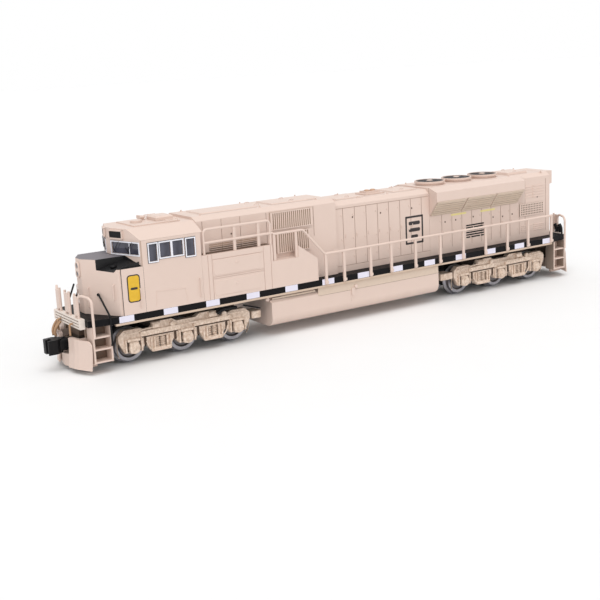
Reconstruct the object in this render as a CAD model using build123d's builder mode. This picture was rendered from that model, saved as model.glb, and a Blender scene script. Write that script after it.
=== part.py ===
from build123d import *
import os

# Small-scale model of a six-axle road diesel with a wide nose.
# Millimetres. +X is forward, +Y is the engine's left, +Z is up.
# The wheel flanges reach down to z = 0, so the rail head lies one flange depth higher.
os.makedirs("parts", exist_ok=True)

# Driving sizes
body_width = 19.5
hood_roof_height = 28.2
axle_spacing = 12.85
wheel_radius = 3.42
flange_depth = 0.55
deck_height = 11.1
deck_thickness = 1.4
shell_wall = 0.7
running_gap = 0.05
seat_gap = 0.03
groove_width = 0.14
groove_depth = 0.12

half_width = body_width / 2
rail_top = flange_depth
axle_z = rail_top + wheel_radius
deck_top = rail_top + deck_height
deck_bottom = deck_top - deck_thickness


def above_rail(height):
    """Turn a height above the rail head into a z value."""
    return rail_top + height


def block(low, high, mode=Mode.ADD):
    """Add a block that reaches from its low corner to its high corner."""
    middle = tuple((a + b) / 2 for a, b in zip(low, high))
    size = tuple(b - a for a, b in zip(low, high))
    with Locations(middle):
        Box(*size, mode=mode)


def bar(points, radius, bend):
    """Add a round bar bent from wire, given its corner points."""
    with BuildLine() as path:
        if len(points) > 2:
            FilletPolyline(*points, radius=bend)
        else:
            Polyline(*points)
    with BuildSketch(Plane(origin=path.line @ 0, z_dir=path.line % 0)) as ring:
        Circle(radius)
    sweep(ring.sketch, path=path.line)


def both_sides(points):
    """Close an outline that is given for the left half, from front to rear."""
    return points + [(x, -y) for x, y in reversed(points) if y > 0]


def prism(points, low, high, mode=Mode.ADD):
    """Add a plan outline as a solid between two heights."""
    with BuildSketch(Plane.XY.offset(low)) as outline:
        with BuildLine():
            Polyline(*points, close=True)
        make_face()
    extrude(outline.sketch, amount=high - low, mode=mode)


def cross_section(points, rear, front, mode=Mode.ADD):
    """Run a section, given as (y, z) for the left half, from rear to front."""
    corners = points + [(-y, z) for y, z in reversed(points) if y > 0]
    with BuildSketch(Plane.YZ.offset(rear)) as section:
        with BuildLine():
            Polyline(*corners, close=True)
        make_face()
    extrude(section.sketch, amount=front - rear, mode=mode)


# Plan of the body: these lengths add up to the length over both couplers
coupler_reach = 6.35
platform_taper_length = 5.8
truck_set_back = 23.1
front_walk = 2.5
nose_panel_depth = 4.76
nose_depth = 5.1
nose_length = 7.3
cab_panel_depth = 2.95
cab_front_depth = 3.2
cab_length = 17.1
equipment_hood_length = 37.9
long_hood_length = 29.4
radiator_hood_length = 42.6
rear_walk = 3.2
rear_overhang = 2.2
flare_length = 30.4
flare_taper = 3.0
hoods_length = equipment_hood_length + long_hood_length + radiator_hood_length
platform_length = front_walk + nose_length + cab_length + hoods_length + rear_walk
platform_end = platform_length / 2
platform_straight = platform_end - platform_taper_length
truck_x = platform_end - truck_set_back
nose_front = platform_end - front_walk
nose_corner = nose_front - nose_panel_depth
nose_side_front = nose_front - nose_depth
cab_front = nose_front - nose_length
cab_corner = cab_front - cab_panel_depth
cab_side_front = cab_front - cab_front_depth
cab_rear = cab_front - cab_length
equipment_hood_rear = cab_rear - equipment_hood_length
hood_rear = rear_walk - platform_end
overhang_rear = hood_rear - rear_overhang
radiator_front = hood_rear + radiator_hood_length
flare_rear = radiator_front - flare_length
flare_taper_end = flare_rear - flare_taper
hood_middle = (radiator_front + equipment_hood_rear) / 2

# Heights above the rail head
eave_drop = 1.8
cab_roof_rise = 2.25
nose_drop = 5.3
cabinet_drop = 7.0
equipment_roof_rise = 1.0
equipment_eave_drop = 0.9
hood_eave_drop = 1.0
radiator_roof_rise = 0.3
flare_eave_drop = 1.0
flare_face_height = 2.3
flare_slant_height = 3.8
overhang_depth = 3.4
eave_height = hood_roof_height - eave_drop
cab_roof_height = eave_height + cab_roof_rise
nose_top_height = hood_roof_height - nose_drop
cabinet_height = hood_roof_height - cabinet_drop
equipment_roof_height = hood_roof_height + equipment_roof_rise
equipment_side_height = equipment_roof_height - equipment_eave_drop
hood_side_height = hood_roof_height - hood_eave_drop
radiator_roof_height = hood_roof_height + radiator_roof_rise
flare_high_height = radiator_roof_height - flare_eave_drop
flare_mid_height = flare_high_height - flare_face_height
flare_low_height = flare_mid_height - flare_slant_height
overhang_low_height = radiator_roof_height - overhang_depth

# Half widths
platform_end_inset = 1.05
hood_inset = 3.55
hood_roof_inset = 1.4
equipment_inset = 2.75
equipment_roof_inset = 1.8
flare_inset = 0.55
radiator_roof_inset = 2.9
cab_roof_inset = 3.75
cab_corner_inset = 0.2
nose_corner_inset = 0.36
cab_centre_half = 1.2
nose_centre_half = 1.3
platform_end_half = half_width - platform_end_inset
hood_half = half_width - hood_inset
hood_roof_half = hood_half - hood_roof_inset
equipment_half = half_width - equipment_inset
equipment_roof_half = equipment_half - equipment_roof_inset
flare_half = half_width - flare_inset
radiator_roof_half = flare_half - radiator_roof_inset
cab_roof_half = half_width - cab_roof_inset

# Underframe: deck plate, side sills and the centre sill that carries the trucks
centre_sill_half = 3.0
centre_sill_height = 8.1
sill_lip_width = 0.8
sill_lip_drop = 0.5
pivot_radius = 2.0
pivot_depth = 1.1

deck_plan = [
    (platform_end, 0),
    (platform_end, platform_end_half),
    (platform_straight, half_width),
    (-platform_straight, half_width),
    (-platform_end, platform_end_half),
    (-platform_end, 0),
]
with BuildPart() as underframe:
    prism(both_sides(deck_plan), deck_bottom, deck_top)
    for side in (-1, 1):
        with Locations((0, side * (half_width - sill_lip_width / 2), deck_bottom - sill_lip_drop / 2)):
            Box(2 * platform_straight, sill_lip_width, sill_lip_drop)
    sill_low = above_rail(centre_sill_height)
    block(
        (-platform_straight, -centre_sill_half, sill_low),
        (platform_straight, centre_sill_half, deck_bottom),
    )
    with Locations((truck_x, 0, sill_low), (-truck_x, 0, sill_low)):
        Cylinder(
            pivot_radius + running_gap,
            pivot_depth,
            align=(Align.CENTER, Align.CENTER, Align.MIN),
            mode=Mode.SUBTRACT,
        )
underframe.part.label = "underframe"
export_step(underframe.part, "parts/underframe.step")

# Heavy metal block that fills the hoods of such a model
ballast_set_back = 3.1
ballast_set_in = 3.8
ballast_inset = 1.6
ballast_drop = 3.0
ballast_gap = 0.3
ballast_front = cab_rear - ballast_set_back
ballast_rear = hood_rear + ballast_set_in
ballast_half = hood_half - ballast_inset
ballast_height = hood_roof_height - ballast_drop


def ballast_room():
    """Clear the room that the weight takes inside a hood."""
    block(
        (ballast_rear - ballast_gap, -ballast_half - ballast_gap, deck_top),
        (ballast_front + ballast_gap, ballast_half + ballast_gap, above_rail(ballast_height) + ballast_gap),
        Mode.SUBTRACT,
    )


with BuildPart() as chassis_weight:
    block(
        (ballast_rear, -ballast_half, deck_top + seat_gap),
        (ballast_front, ballast_half, above_rail(ballast_height)),
    )
chassis_weight.part.label = "chassis_weight"
export_step(chassis_weight.part, "parts/chassis_weight.step")

# Cab shell: plan outline, hollow, with window openings
window_head_drop = 1.0
window_sill_drop = 4.7
middle_sill_drop = 4.15
window_table = [
    # rear edge and front edge ahead of the cab's rear wall, sill below the eave
    (10.5, 12.35, window_sill_drop),
    (7.3, 9.8, middle_sill_drop),
    (4.4, 6.8, middle_sill_drop),
    (1.55, 3.5, window_sill_drop),
]
side_windows = [
    (cab_rear + rear, cab_rear + front, eave_height - sill, eave_height - window_head_drop)
    for rear, front, sill in window_table
]
windshield_head_drop = 0.65
windshield_sill_drop = 3.1
windshield_near = 0.35
windshield_far = 8.4
windshield_low_height = eave_height - windshield_sill_drop
windshield_high_height = eave_height - windshield_head_drop
cab_plan = [
    (cab_front, 0),
    (cab_front, cab_centre_half),
    (cab_corner, half_width - cab_corner_inset),
    (cab_side_front, half_width),
    (cab_rear, half_width),
    (cab_rear, 0),
]
inner_half = half_width - shell_wall
cab_room = [
    (cab_front - shell_wall, 0),
    (cab_front - shell_wall, cab_centre_half),
    (cab_corner - shell_wall, inner_half - cab_corner_inset),
    (cab_side_front - shell_wall, inner_half),
    (cab_rear + shell_wall, inner_half),
    (cab_rear + shell_wall, 0),
]


def front_panel(side, height):
    """Plane on the slanted front wall of the cab, its x axis running outwards."""
    inner = Vector(cab_front, side * cab_centre_half, above_rail(height))
    outer = Vector(cab_corner, side * (half_width - cab_corner_inset), above_rail(height))
    along = (outer - inner).normalized()
    normal = Vector(side * along.Y, -side * along.X, 0)
    return Plane(origin=inner, x_dir=along, z_dir=normal)


pane_middle = (windshield_near + windshield_far) / 2
pane_width = windshield_far - windshield_near
pane_height = windshield_high_height - windshield_low_height
pane_middle_height = (windshield_low_height + windshield_high_height) / 2
with BuildPart() as cab_shell:
    prism(both_sides(cab_plan), deck_top + seat_gap, above_rail(eave_height))
    prism(both_sides(cab_room), deck_top + seat_gap, above_rail(eave_height), Mode.SUBTRACT)
    for rear, front, low, high in side_windows:
        block(
            (rear, -half_width, above_rail(low)),
            (front, half_width, above_rail(high)),
            Mode.SUBTRACT,
        )
    for side in (-1, 1):
        with BuildSketch(front_panel(side, pane_middle_height)):
            with Locations((pane_middle, 0)):
                Rectangle(pane_width, pane_height)
        extrude(amount=-2 * shell_wall, mode=Mode.SUBTRACT)
cab_shell.part.label = "cab_shell"
export_step(cab_shell.part, "parts/cab_shell.step")

# Cab roof: hipped at the sides, cut to the plan of the cab
roof_overhang = 0.5
roof_rib_inset = 1.4
roof_rib_thick = 0.25
roof_rib_set_in = 1.9
roof_rib_set_back = 4.2
roof_rib_half = cab_roof_half - roof_rib_inset
roof_rib_rear = cab_rear + roof_rib_set_in
roof_rib_front = cab_front - roof_rib_set_back
with BuildPart() as cab_roof:
    cross_section(
        [
            (0, above_rail(eave_height) + seat_gap),
            (half_width, above_rail(eave_height) + seat_gap),
            (cab_roof_half, above_rail(cab_roof_height)),
            (0, above_rail(cab_roof_height)),
        ],
        cab_rear - roof_overhang,
        cab_front,
    )
    prism(
        both_sides([(x - roof_overhang if x == cab_rear else x, y) for x, y in cab_plan]),
        above_rail(eave_height),
        above_rail(cab_roof_height),
        Mode.INTERSECT,
    )
    block(
        (roof_rib_rear, -roof_rib_half, above_rail(cab_roof_height)),
        (roof_rib_front, roof_rib_half, above_rail(cab_roof_height) + roof_rib_thick),
    )
cab_roof.part.label = "cab_roof"
export_step(cab_roof.part, "parts/cab_roof.step")

# Glass set back in the window openings
glass_inset = 0.15
glass_thick = 0.3
glass_gap = 0.03
with BuildPart() as side_glass:
    for side in (-1, 1):
        outside = side * (half_width - glass_inset)
        inside = side * (half_width - glass_inset - glass_thick)
        for rear, front, low, high in side_windows:
            block(
                (rear + glass_gap, min(outside, inside), above_rail(low) + glass_gap),
                (front - glass_gap, max(outside, inside), above_rail(high) - glass_gap),
            )
side_glass.part.label = "side_glass"
export_step(side_glass.part, "parts/side_glass.step")

with BuildPart() as windshield:
    for side in (-1, 1):
        with BuildSketch(front_panel(side, pane_middle_height).offset(-glass_inset)):
            with Locations((pane_middle, 0)):
                Rectangle(pane_width - 2 * glass_gap, pane_height - 2 * glass_gap)
        extrude(amount=-glass_thick)
windshield.part.label = "windshield"
export_step(windshield.part, "parts/windshield.step")

# Frames that stand a little proud around the glass
frame_width = 0.28
frame_thick = 0.12
pane_divider_share = 1 / 6
with BuildPart() as window_frames:
    for side in (-1, 1):
        with BuildSketch(Plane.XZ.offset(-side * (half_width + seat_gap))):
            for rear, front, low, high in side_windows:
                with Locations(((rear + front) / 2, above_rail((low + high) / 2))):
                    Rectangle(front - rear + 2 * frame_width, high - low + 2 * frame_width)
                    Rectangle(front - rear, high - low, mode=Mode.SUBTRACT)
        extrude(amount=-side * frame_thick)
        with BuildSketch(front_panel(side, pane_middle_height).offset(seat_gap)):
            with Locations((pane_middle, 0)):
                Rectangle(pane_width + 2 * frame_width, pane_height + 2 * frame_width)
                Rectangle(pane_width, pane_height, mode=Mode.SUBTRACT)
            with Locations((pane_middle + pane_width * pane_divider_share, 0)):
                Rectangle(frame_width / 2, pane_height)
        extrude(amount=frame_thick)
window_frames.part.label = "window_frames"
export_step(window_frames.part, "parts/window_frames.step")

# Number boards above the windshield, left plain
board_width = 3.4
board_height = 1.25
board_thick = 0.3
board_inset = 1.9
board_rise = 0.95
board_middle_height = eave_height + board_rise
with BuildPart() as number_boards:
    for side in (-1, 1):
        with BuildSketch(front_panel(side, board_middle_height).offset(seat_gap)):
            with Locations((board_inset, 0)):
                RectangleRounded(board_width, board_height, groove_width)
        extrude(amount=board_thick)
number_boards.part.label = "number_boards"
export_step(number_boards.part, "parts/number_boards.step")

# Nose: wedge in plan, its raised middle flanked by two sloping shelves
nose_raised_inset = 5.05
shelf_drop = 2.6
shelf_corner_reach = 4.0
shelf_corner_inset = 1.15
shelf_rear_share = 0.22
shelf_side_share = 0.215
nose_side_drop = 1.9
nose_room_drop = 3.7
nose_side_wall = 0.65
nose_half = half_width - nose_raised_inset
shelf_low_height = nose_top_height - shelf_drop
nose_side_height = nose_top_height - nose_side_drop
nose_room_height = nose_top_height - nose_room_drop
cab_joint = 0.05
nose_plan = [
    (nose_front, 0),
    (nose_front, nose_centre_half),
    (nose_corner, half_width - nose_corner_inset),
    (nose_side_front, half_width),
    (cab_side_front + cab_joint, half_width),
    (cab_corner + cab_joint, half_width - cab_corner_inset),
    (cab_front + cab_joint, cab_centre_half),
    (cab_front + cab_joint, 0),
]
nose_room = [
    (nose_front - shell_wall, 0),
    (nose_front - shell_wall, nose_centre_half),
    (nose_corner - shell_wall, half_width - nose_corner_inset - shell_wall),
    (cab_front + shell_wall, half_width - nose_corner_inset - shell_wall),
    (cab_front + shell_wall, 0),
]
shelf_corner = Vector(
    nose_front - shelf_corner_reach,
    half_width - shelf_corner_inset,
    above_rail(shelf_low_height),
)
shelf_plane = Plane(origin=shelf_corner, z_dir=(shelf_rear_share, shelf_side_share, 1))
rim_plane = Plane(origin=shelf_corner, z_dir=(shelf_rear_share, -1, 1))
with BuildPart() as shelf_cut:
    block(
        (cab_side_front - shell_wall, nose_half, above_rail(nose_room_height)),
        (nose_front, half_width, above_rail(cab_roof_height)),
    )
    split(bisect_by=shelf_plane, keep=Keep.TOP)
    split(bisect_by=rim_plane, keep=Keep.TOP)
with BuildPart() as nose:
    prism(both_sides(nose_plan), deck_top + seat_gap, above_rail(nose_top_height))
    prism(both_sides(nose_room), deck_top + seat_gap, above_rail(nose_room_height), Mode.SUBTRACT)
    add(shelf_cut.part, mode=Mode.SUBTRACT)
    add(mirror(shelf_cut.part, about=Plane.XZ), mode=Mode.SUBTRACT)
    for side in (-1, 1):
        near = side * (half_width - nose_side_wall - groove_width)
        far = side * half_width
        block(
            (cab_side_front - shell_wall, min(near, far), above_rail(nose_side_height)),
            (nose_front, max(near, far), above_rail(cab_roof_height)),
            Mode.SUBTRACT,
        )
        with Locations((nose_side_front, side * half_width, above_rail(nose_side_height) / 2)):
            Box(groove_width, 2 * groove_depth, above_rail(nose_side_height), mode=Mode.SUBTRACT)
nose.part.label = "nose"
export_step(nose.part, "parts/nose.step")

# Two headlights one above the other in the middle of the nose
lamp_radius = 0.62
lamp_stand_off = 0.35
lamp_lens_depth = 0.2
lamp_drop = 3.3
lamp_pitch = 1.75
lamp_low_height = nose_top_height - lamp_drop
housing_margin = 0.25
with BuildPart() as headlights:
    with BuildSketch(Plane.YZ.offset(nose_front + seat_gap)):
        with Locations((0, above_rail(lamp_low_height + lamp_pitch / 2))):
            SlotCenterToCenter(lamp_pitch, 2 * (lamp_radius + housing_margin), rotation=90)
    extrude(amount=lamp_stand_off)
    with BuildSketch(Plane.YZ.offset(nose_front + seat_gap + lamp_stand_off)):
        for height in (lamp_low_height, lamp_low_height + lamp_pitch):
            with Locations((0, above_rail(height))):
                Circle(lamp_radius)
    extrude(amount=-lamp_lens_depth, mode=Mode.SUBTRACT)
headlights.part.label = "headlights"
export_step(headlights.part, "parts/headlights.step")

# Full-width cabinets behind the cab, with the stair down to the walkway
cabinet_length = 18.2
landing_length = 6.9
stair_length = 5.25
landing_share = 0.624
stringer_top_share = 0.89
stringer_low_share = 0.525
stringer_thick = 0.7
stair_treads = 4
# panel seams behind the cab, then hatch lines below the cabinet top
panel_seam_offsets = [1.5, 2.5, 15.7, 17.6]
hatch_line_drops = [1.3, 5.2, 5.6]
tread_overlap = 0.2
cabinet_step = cab_rear - cabinet_length
cabinet_stair_top = cabinet_step - landing_length
cabinet_front_edge = cabinet_stair_top - stair_length
cabinet_rise = cabinet_height - deck_height
landing_height = deck_height + cabinet_rise * landing_share
stair_top_height = deck_height + cabinet_rise * stringer_top_share
stair_low_height = deck_height + cabinet_rise * stringer_low_share
panel_seams = [cab_rear - offset for offset in panel_seam_offsets]
cabinet_inner = equipment_half + seat_gap
with BuildPart() as left_cabinets:
    block(
        (cabinet_step, cabinet_inner, deck_top + seat_gap),
        (cab_rear - seat_gap, half_width, above_rail(cabinet_height)),
    )
    block(
        (cabinet_stair_top, cabinet_inner, deck_top + seat_gap),
        (cabinet_step, half_width, above_rail(landing_height)),
    )
    with BuildSketch(Plane.XZ.offset(-half_width)):
        with BuildLine():
            Polyline(
                (cabinet_front_edge, deck_top + seat_gap),
                (cabinet_stair_top, deck_top + seat_gap),
                (cabinet_stair_top, above_rail(stair_top_height)),
                (cabinet_front_edge, above_rail(stair_low_height)),
                close=True,
            )
        make_face()
    extrude(amount=stringer_thick)
    for index in range(stair_treads):
        run = (cabinet_stair_top - cabinet_front_edge) / stair_treads
        rise = (landing_height - deck_height) / (stair_treads + 1)
        tread_front = cabinet_stair_top - index * run
        tread_top = above_rail(landing_height) - (index + 1) * rise
        block(
            (tread_front - run, cabinet_inner, deck_top + seat_gap),
            (tread_front, half_width - stringer_thick + tread_overlap, tread_top),
        )
    for seam in panel_seams:
        with Locations((seam, half_width, (deck_top + above_rail(cabinet_height)) / 2)):
            Box(groove_width, 2 * groove_depth, cabinet_height - deck_height, mode=Mode.SUBTRACT)
    for drop in hatch_line_drops:
        line_z = above_rail(cabinet_height - drop)
        block(
            (panel_seams[2], half_width - groove_depth, line_z),
            (panel_seams[1], half_width, line_z + groove_width),
            Mode.SUBTRACT,
        )
left_cabinets.part.label = "left_cabinets"
export_step(left_cabinets.part, "parts/left_cabinets.step")

right_cabinets = mirror(left_cabinets.part, about=Plane.XZ)
right_cabinets.label = "right_cabinets"
export_step(right_cabinets, "parts/right_cabinets.step")


def hood_section(half, side_height, roof_half, roof_height):
    """Left half of a hood's section: wall, slanted edge and roof."""
    return [
        (0, deck_top + seat_gap),
        (half, deck_top + seat_gap),
        (half, above_rail(side_height)),
        (roof_half, above_rail(roof_height)),
        (0, above_rail(roof_height)),
    ]


def door_lines(seams, half, low, high):
    """Cut upright door seams into both walls of a hood."""
    for seam in seams:
        for side in (-1, 1):
            with Locations((seam, side * half, above_rail((low + high) / 2))):
                Box(groove_width, 2 * groove_depth, high - low, mode=Mode.SUBTRACT)


# Equipment hood behind the cab
equipment_seam_offsets = [2.1, 6.9, 11.7, 18.6, 31.5]
with BuildPart() as equipment_hood:
    cross_section(
        hood_section(equipment_half, equipment_side_height, equipment_roof_half, equipment_roof_height),
        equipment_hood_rear,
        cab_rear - roof_overhang - seat_gap,
    )
    cross_section(
        hood_section(
            equipment_half - shell_wall,
            equipment_side_height - shell_wall,
            equipment_roof_half - shell_wall,
            equipment_roof_height - shell_wall,
        ),
        equipment_hood_rear + shell_wall,
        cab_rear - roof_overhang - shell_wall,
        Mode.SUBTRACT,
    )
    ballast_room()
    equipment_seams = [cab_rear - offset for offset in equipment_seam_offsets]
    door_lines(equipment_seams, equipment_half, cabinet_height, equipment_side_height - groove_width)
equipment_hood.part.label = "equipment_hood"
export_step(equipment_hood.part, "parts/equipment_hood.step")

# Upright louvres on the equipment hood
louvre_thick = 0.35
louvre_pitch = 0.56
louvre_gap = 0.3
louvre_border = 0.2
louvre_head_drop = 0.3
louvre_split_drop = 4.4
louvre_split = 0.7
louvre_foot_gap = 1.0
louvre_split_height = equipment_side_height - louvre_split_drop
louvre_panels = [
    # front edge and rear edge behind the cab, bottom, top
    (19.5, 31.0, louvre_split_height, equipment_side_height - louvre_head_drop),
    (20.9, 30.2, landing_height + louvre_foot_gap, louvre_split_height - louvre_split),
]
with BuildPart() as louvres:
    for side in (-1, 1):
        for front_offset, rear_offset, low, high in louvre_panels:
            front = cab_rear - front_offset
            rear = cab_rear - rear_offset
            face = side * (equipment_half + seat_gap)
            outer = face + side * louvre_thick
            block(
                (rear, min(face, outer), above_rail(low)),
                (front, max(face, outer), above_rail(high)),
            )
            slots = int((front - rear - 2 * louvre_border) / louvre_pitch)
            with Locations(((rear + front) / 2, outer, above_rail((low + high) / 2))):
                with GridLocations(louvre_pitch, louvre_pitch, slots, 1):
                    Box(
                        louvre_gap,
                        louvre_thick,
                        high - low - 2 * louvre_border,
                        mode=Mode.SUBTRACT,
                    )
louvres.part.label = "louvres"
export_step(louvres.part, "parts/louvres.step")

# Long hood over the engine
hood_gap = 0.05
hood_door_count = 8
hood_belt_rise = 1.5
hood_door_pitch = long_hood_length / (hood_door_count + 1 / 2)
hood_belt_height = deck_height + hood_belt_rise
with BuildPart() as long_hood:
    cross_section(
        hood_section(hood_half, hood_side_height, hood_roof_half, hood_roof_height),
        radiator_front + hood_gap,
        equipment_hood_rear - hood_gap,
    )
    cross_section(
        hood_section(
            hood_half - shell_wall,
            hood_side_height - shell_wall,
            hood_roof_half - shell_wall,
            hood_roof_height - shell_wall,
        ),
        radiator_front + shell_wall,
        equipment_hood_rear - shell_wall,
        Mode.SUBTRACT,
    )
    ballast_room()
    door_lines(
        [equipment_hood_rear - (index + 3 / 4) * hood_door_pitch for index in range(hood_door_count)],
        hood_half,
        hood_belt_height,
        hood_side_height - shell_wall,
    )
    for side in (-1, 1):
        for height in (hood_belt_height, hood_side_height - shell_wall):
            with Locations((hood_middle, side * hood_half, above_rail(height))):
                Box(long_hood_length, 2 * groove_depth, groove_width, mode=Mode.SUBTRACT)
long_hood.part.label = "long_hood"
export_step(long_hood.part, "parts/long_hood.step")

# Radiator hood: the walls flare out to carry slanted air intakes
flare_section = [
    (0, deck_top + seat_gap),
    (hood_half, deck_top + seat_gap),
    (hood_half, above_rail(flare_low_height)),
    (flare_half, above_rail(flare_mid_height)),
    (flare_half, above_rail(flare_high_height)),
    (radiator_roof_half, above_rail(radiator_roof_height)),
    (0, above_rail(radiator_roof_height)),
]
rear_roof_inset = 1.3
rear_roof_half = hood_half - rear_roof_inset
plain_section = [
    (0, deck_top + seat_gap),
    (hood_half, deck_top + seat_gap),
    (hood_half, above_rail(flare_low_height)),
    (hood_half, above_rail(flare_mid_height)),
    (hood_half, above_rail(flare_high_height)),
    (rear_roof_half, above_rail(radiator_roof_height)),
    (0, above_rail(radiator_roof_height)),
]


def closed_section(points):
    """Mirror a half section into a closed ring of corners."""
    return points + [(-y, z) for y, z in reversed(points) if y > 0]


room_half = hood_half - shell_wall
room_roof_half = rear_roof_half - shell_wall
mesh_set_in = 2.2
mesh_length = 9.2
mesh_rear = hood_rear + mesh_set_in
mesh_front = mesh_rear + mesh_length
radiator_door_count = 9
radiator_door_start = 4.0
radiator_door_pitch = 3.4
radiator_seams = [
    radiator_front - radiator_door_start - index * radiator_door_pitch for index in range(radiator_door_count)
]
with BuildPart() as radiator_hood:
    cross_section(flare_section, flare_rear, radiator_front)
    with BuildSketch(Plane.YZ.offset(flare_rear)):
        with BuildLine():
            Polyline(*closed_section(flare_section), close=True)
        make_face()
    with BuildSketch(Plane.YZ.offset(flare_taper_end)):
        with BuildLine():
            Polyline(*closed_section(plain_section), close=True)
        make_face()
    loft(ruled=True)
    cross_section(plain_section, hood_rear, flare_taper_end)
    cross_section(
        hood_section(
            room_half,
            flare_high_height - shell_wall,
            room_roof_half,
            radiator_roof_height - shell_wall,
        ),
        hood_rear + shell_wall,
        radiator_front - shell_wall,
        Mode.SUBTRACT,
    )
    ballast_room()
    with BuildSketch(Plane.XZ.offset(-rear_roof_half)):
        with BuildLine():
            Polyline(
                (hood_rear + shell_wall, above_rail(radiator_roof_height)),
                (overhang_rear, above_rail(radiator_roof_height)),
                (overhang_rear, above_rail(overhang_low_height)),
                (hood_rear + shell_wall, above_rail(overhang_low_height) - shell_wall),
                close=True,
            )
        make_face()
    extrude(amount=2 * rear_roof_half)
    door_lines(radiator_seams, hood_half, hood_belt_height, flare_low_height - groove_width)
    door_lines(
        [flare_taper_end, mesh_rear - shell_wall],
        hood_half,
        hood_belt_height,
        flare_high_height - shell_wall,
    )
radiator_hood.part.label = "radiator_hood"
export_step(radiator_hood.part, "parts/radiator_hood.step")

# Slanted intake grilles set on the flare, three to a side
grille_inset = 0.12
grille_thick = 0.22
grille_count = 3
grille_slats = 6
grille_gap = 0.55
grille_slat_pitch = 0.6
grille_slat_gap = 0.24
flare_rise = flare_mid_height - flare_low_height
flare_reach = flare_half - hood_half
flare_slope = Vector(flare_rise, flare_reach, 0).length
grille_bay = (radiator_front - flare_rear) / grille_count
with BuildPart() as intake_grilles:
    for side in (-1, 1):
        slope_plane = Plane(
            origin=(
                (radiator_front + flare_rear) / 2,
                side * (hood_half + flare_half) / 2,
                above_rail((flare_low_height + flare_mid_height) / 2),
            ),
            x_dir=(1, 0, 0),
            z_dir=(0, side * flare_rise, -flare_reach),
        )
        with BuildSketch(slope_plane.offset(seat_gap)):
            with GridLocations(grille_bay, grille_bay, grille_count, 1):
                Rectangle(grille_bay - grille_gap, flare_slope - 2 * grille_inset)
        extrude(amount=grille_thick)
        with BuildSketch(slope_plane.offset(seat_gap + grille_thick)):
            with GridLocations(grille_bay, grille_slat_pitch, grille_count, grille_slats):
                Rectangle(grille_bay - 2 * grille_gap, grille_slat_gap)
        extrude(amount=-grille_thick / 2, mode=Mode.SUBTRACT)
intake_grilles.part.label = "intake_grilles"
export_step(intake_grilles.part, "parts/intake_grilles.step")

# Mesh panels near the rear of the hood
mesh_drop = 0.65
mesh_height = 3.3
mesh_high_height = flare_low_height - mesh_drop
mesh_low_height = mesh_high_height - mesh_height
mesh_thick = 0.2
mesh_pitch = 0.6
mesh_hole = 0.36
mesh_rows = 5
mesh_columns = 14
with BuildPart() as mesh_panels:
    for side in (-1, 1):
        face = side * (hood_half + seat_gap)
        outer = face + side * mesh_thick
        block(
            (mesh_rear, min(face, outer), above_rail(mesh_low_height)),
            (mesh_front, max(face, outer), above_rail(mesh_high_height)),
        )
        middle = ((mesh_rear + mesh_front) / 2, outer, above_rail((mesh_low_height + mesh_high_height) / 2))
        with BuildSketch(Plane(origin=middle, x_dir=(1, 0, 0), z_dir=(0, side, 0))):
            with GridLocations(mesh_pitch, mesh_pitch, mesh_columns, mesh_rows):
                Rectangle(mesh_hole, mesh_hole)
        extrude(amount=-mesh_thick / 2, mode=Mode.SUBTRACT)
mesh_panels.part.label = "mesh_panels"
export_step(mesh_panels.part, "parts/mesh_panels.step")

# Three radiator fans on the roof
fan_count = 3
fan_start = 5.5
fan_pitch = 9.1
fan_positions = [radiator_front - fan_start - index * fan_pitch for index in range(fan_count)]
fan_radius = 3.95
fan_height = 0.95
fan_rim = 0.3
fan_recess = 0.3
fan_curb_radius = 3.6
fan_hub_radius = 0.9
fan_spoke_width = 0.16
fan_spokes = 12
fan_grille_thick = 0.18
fan_ring_radii = [1.7, 2.5, 3.3]
fan_ring_width = 0.14
roof_z = above_rail(radiator_roof_height)
with BuildPart() as fan_housings:
    for x in fan_positions:
        with Locations((x, 0, roof_z + seat_gap)):
            Cylinder(fan_curb_radius, fan_height / 2, align=(Align.CENTER, Align.CENTER, Align.MIN))
        with Locations((x, 0, roof_z + seat_gap + fan_height / 2)):
            Cylinder(fan_radius, fan_height / 2, align=(Align.CENTER, Align.CENTER, Align.MIN))
        with Locations((x, 0, roof_z + seat_gap + fan_height)):
            Cylinder(
                fan_radius - fan_rim,
                fan_recess,
                align=(Align.CENTER, Align.CENTER, Align.MAX),
                mode=Mode.SUBTRACT,
            )
fan_housings.part.label = "fan_housings"
export_step(fan_housings.part, "parts/fan_housings.step")

with BuildPart() as fan_grilles:
    for x in fan_positions:
        grille_plane = Plane.XY.offset(roof_z + 2 * seat_gap + fan_height - fan_recess)
        with BuildSketch(grille_plane):
            with Locations((x, 0)):
                Circle(fan_hub_radius)
                for radius in fan_ring_radii:
                    Circle(radius + fan_ring_width)
                    Circle(radius, mode=Mode.SUBTRACT)
                Circle(fan_hub_radius)
                with PolarLocations(0, fan_spokes):
                    with Locations((fan_ring_radii[-1] / 2, 0)):
                        Rectangle(fan_ring_radii[-1], fan_spoke_width)
        extrude(amount=fan_grille_thick)
fan_grilles.part.label = "fan_grilles"
export_step(fan_grilles.part, "parts/fan_grilles.step")

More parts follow.
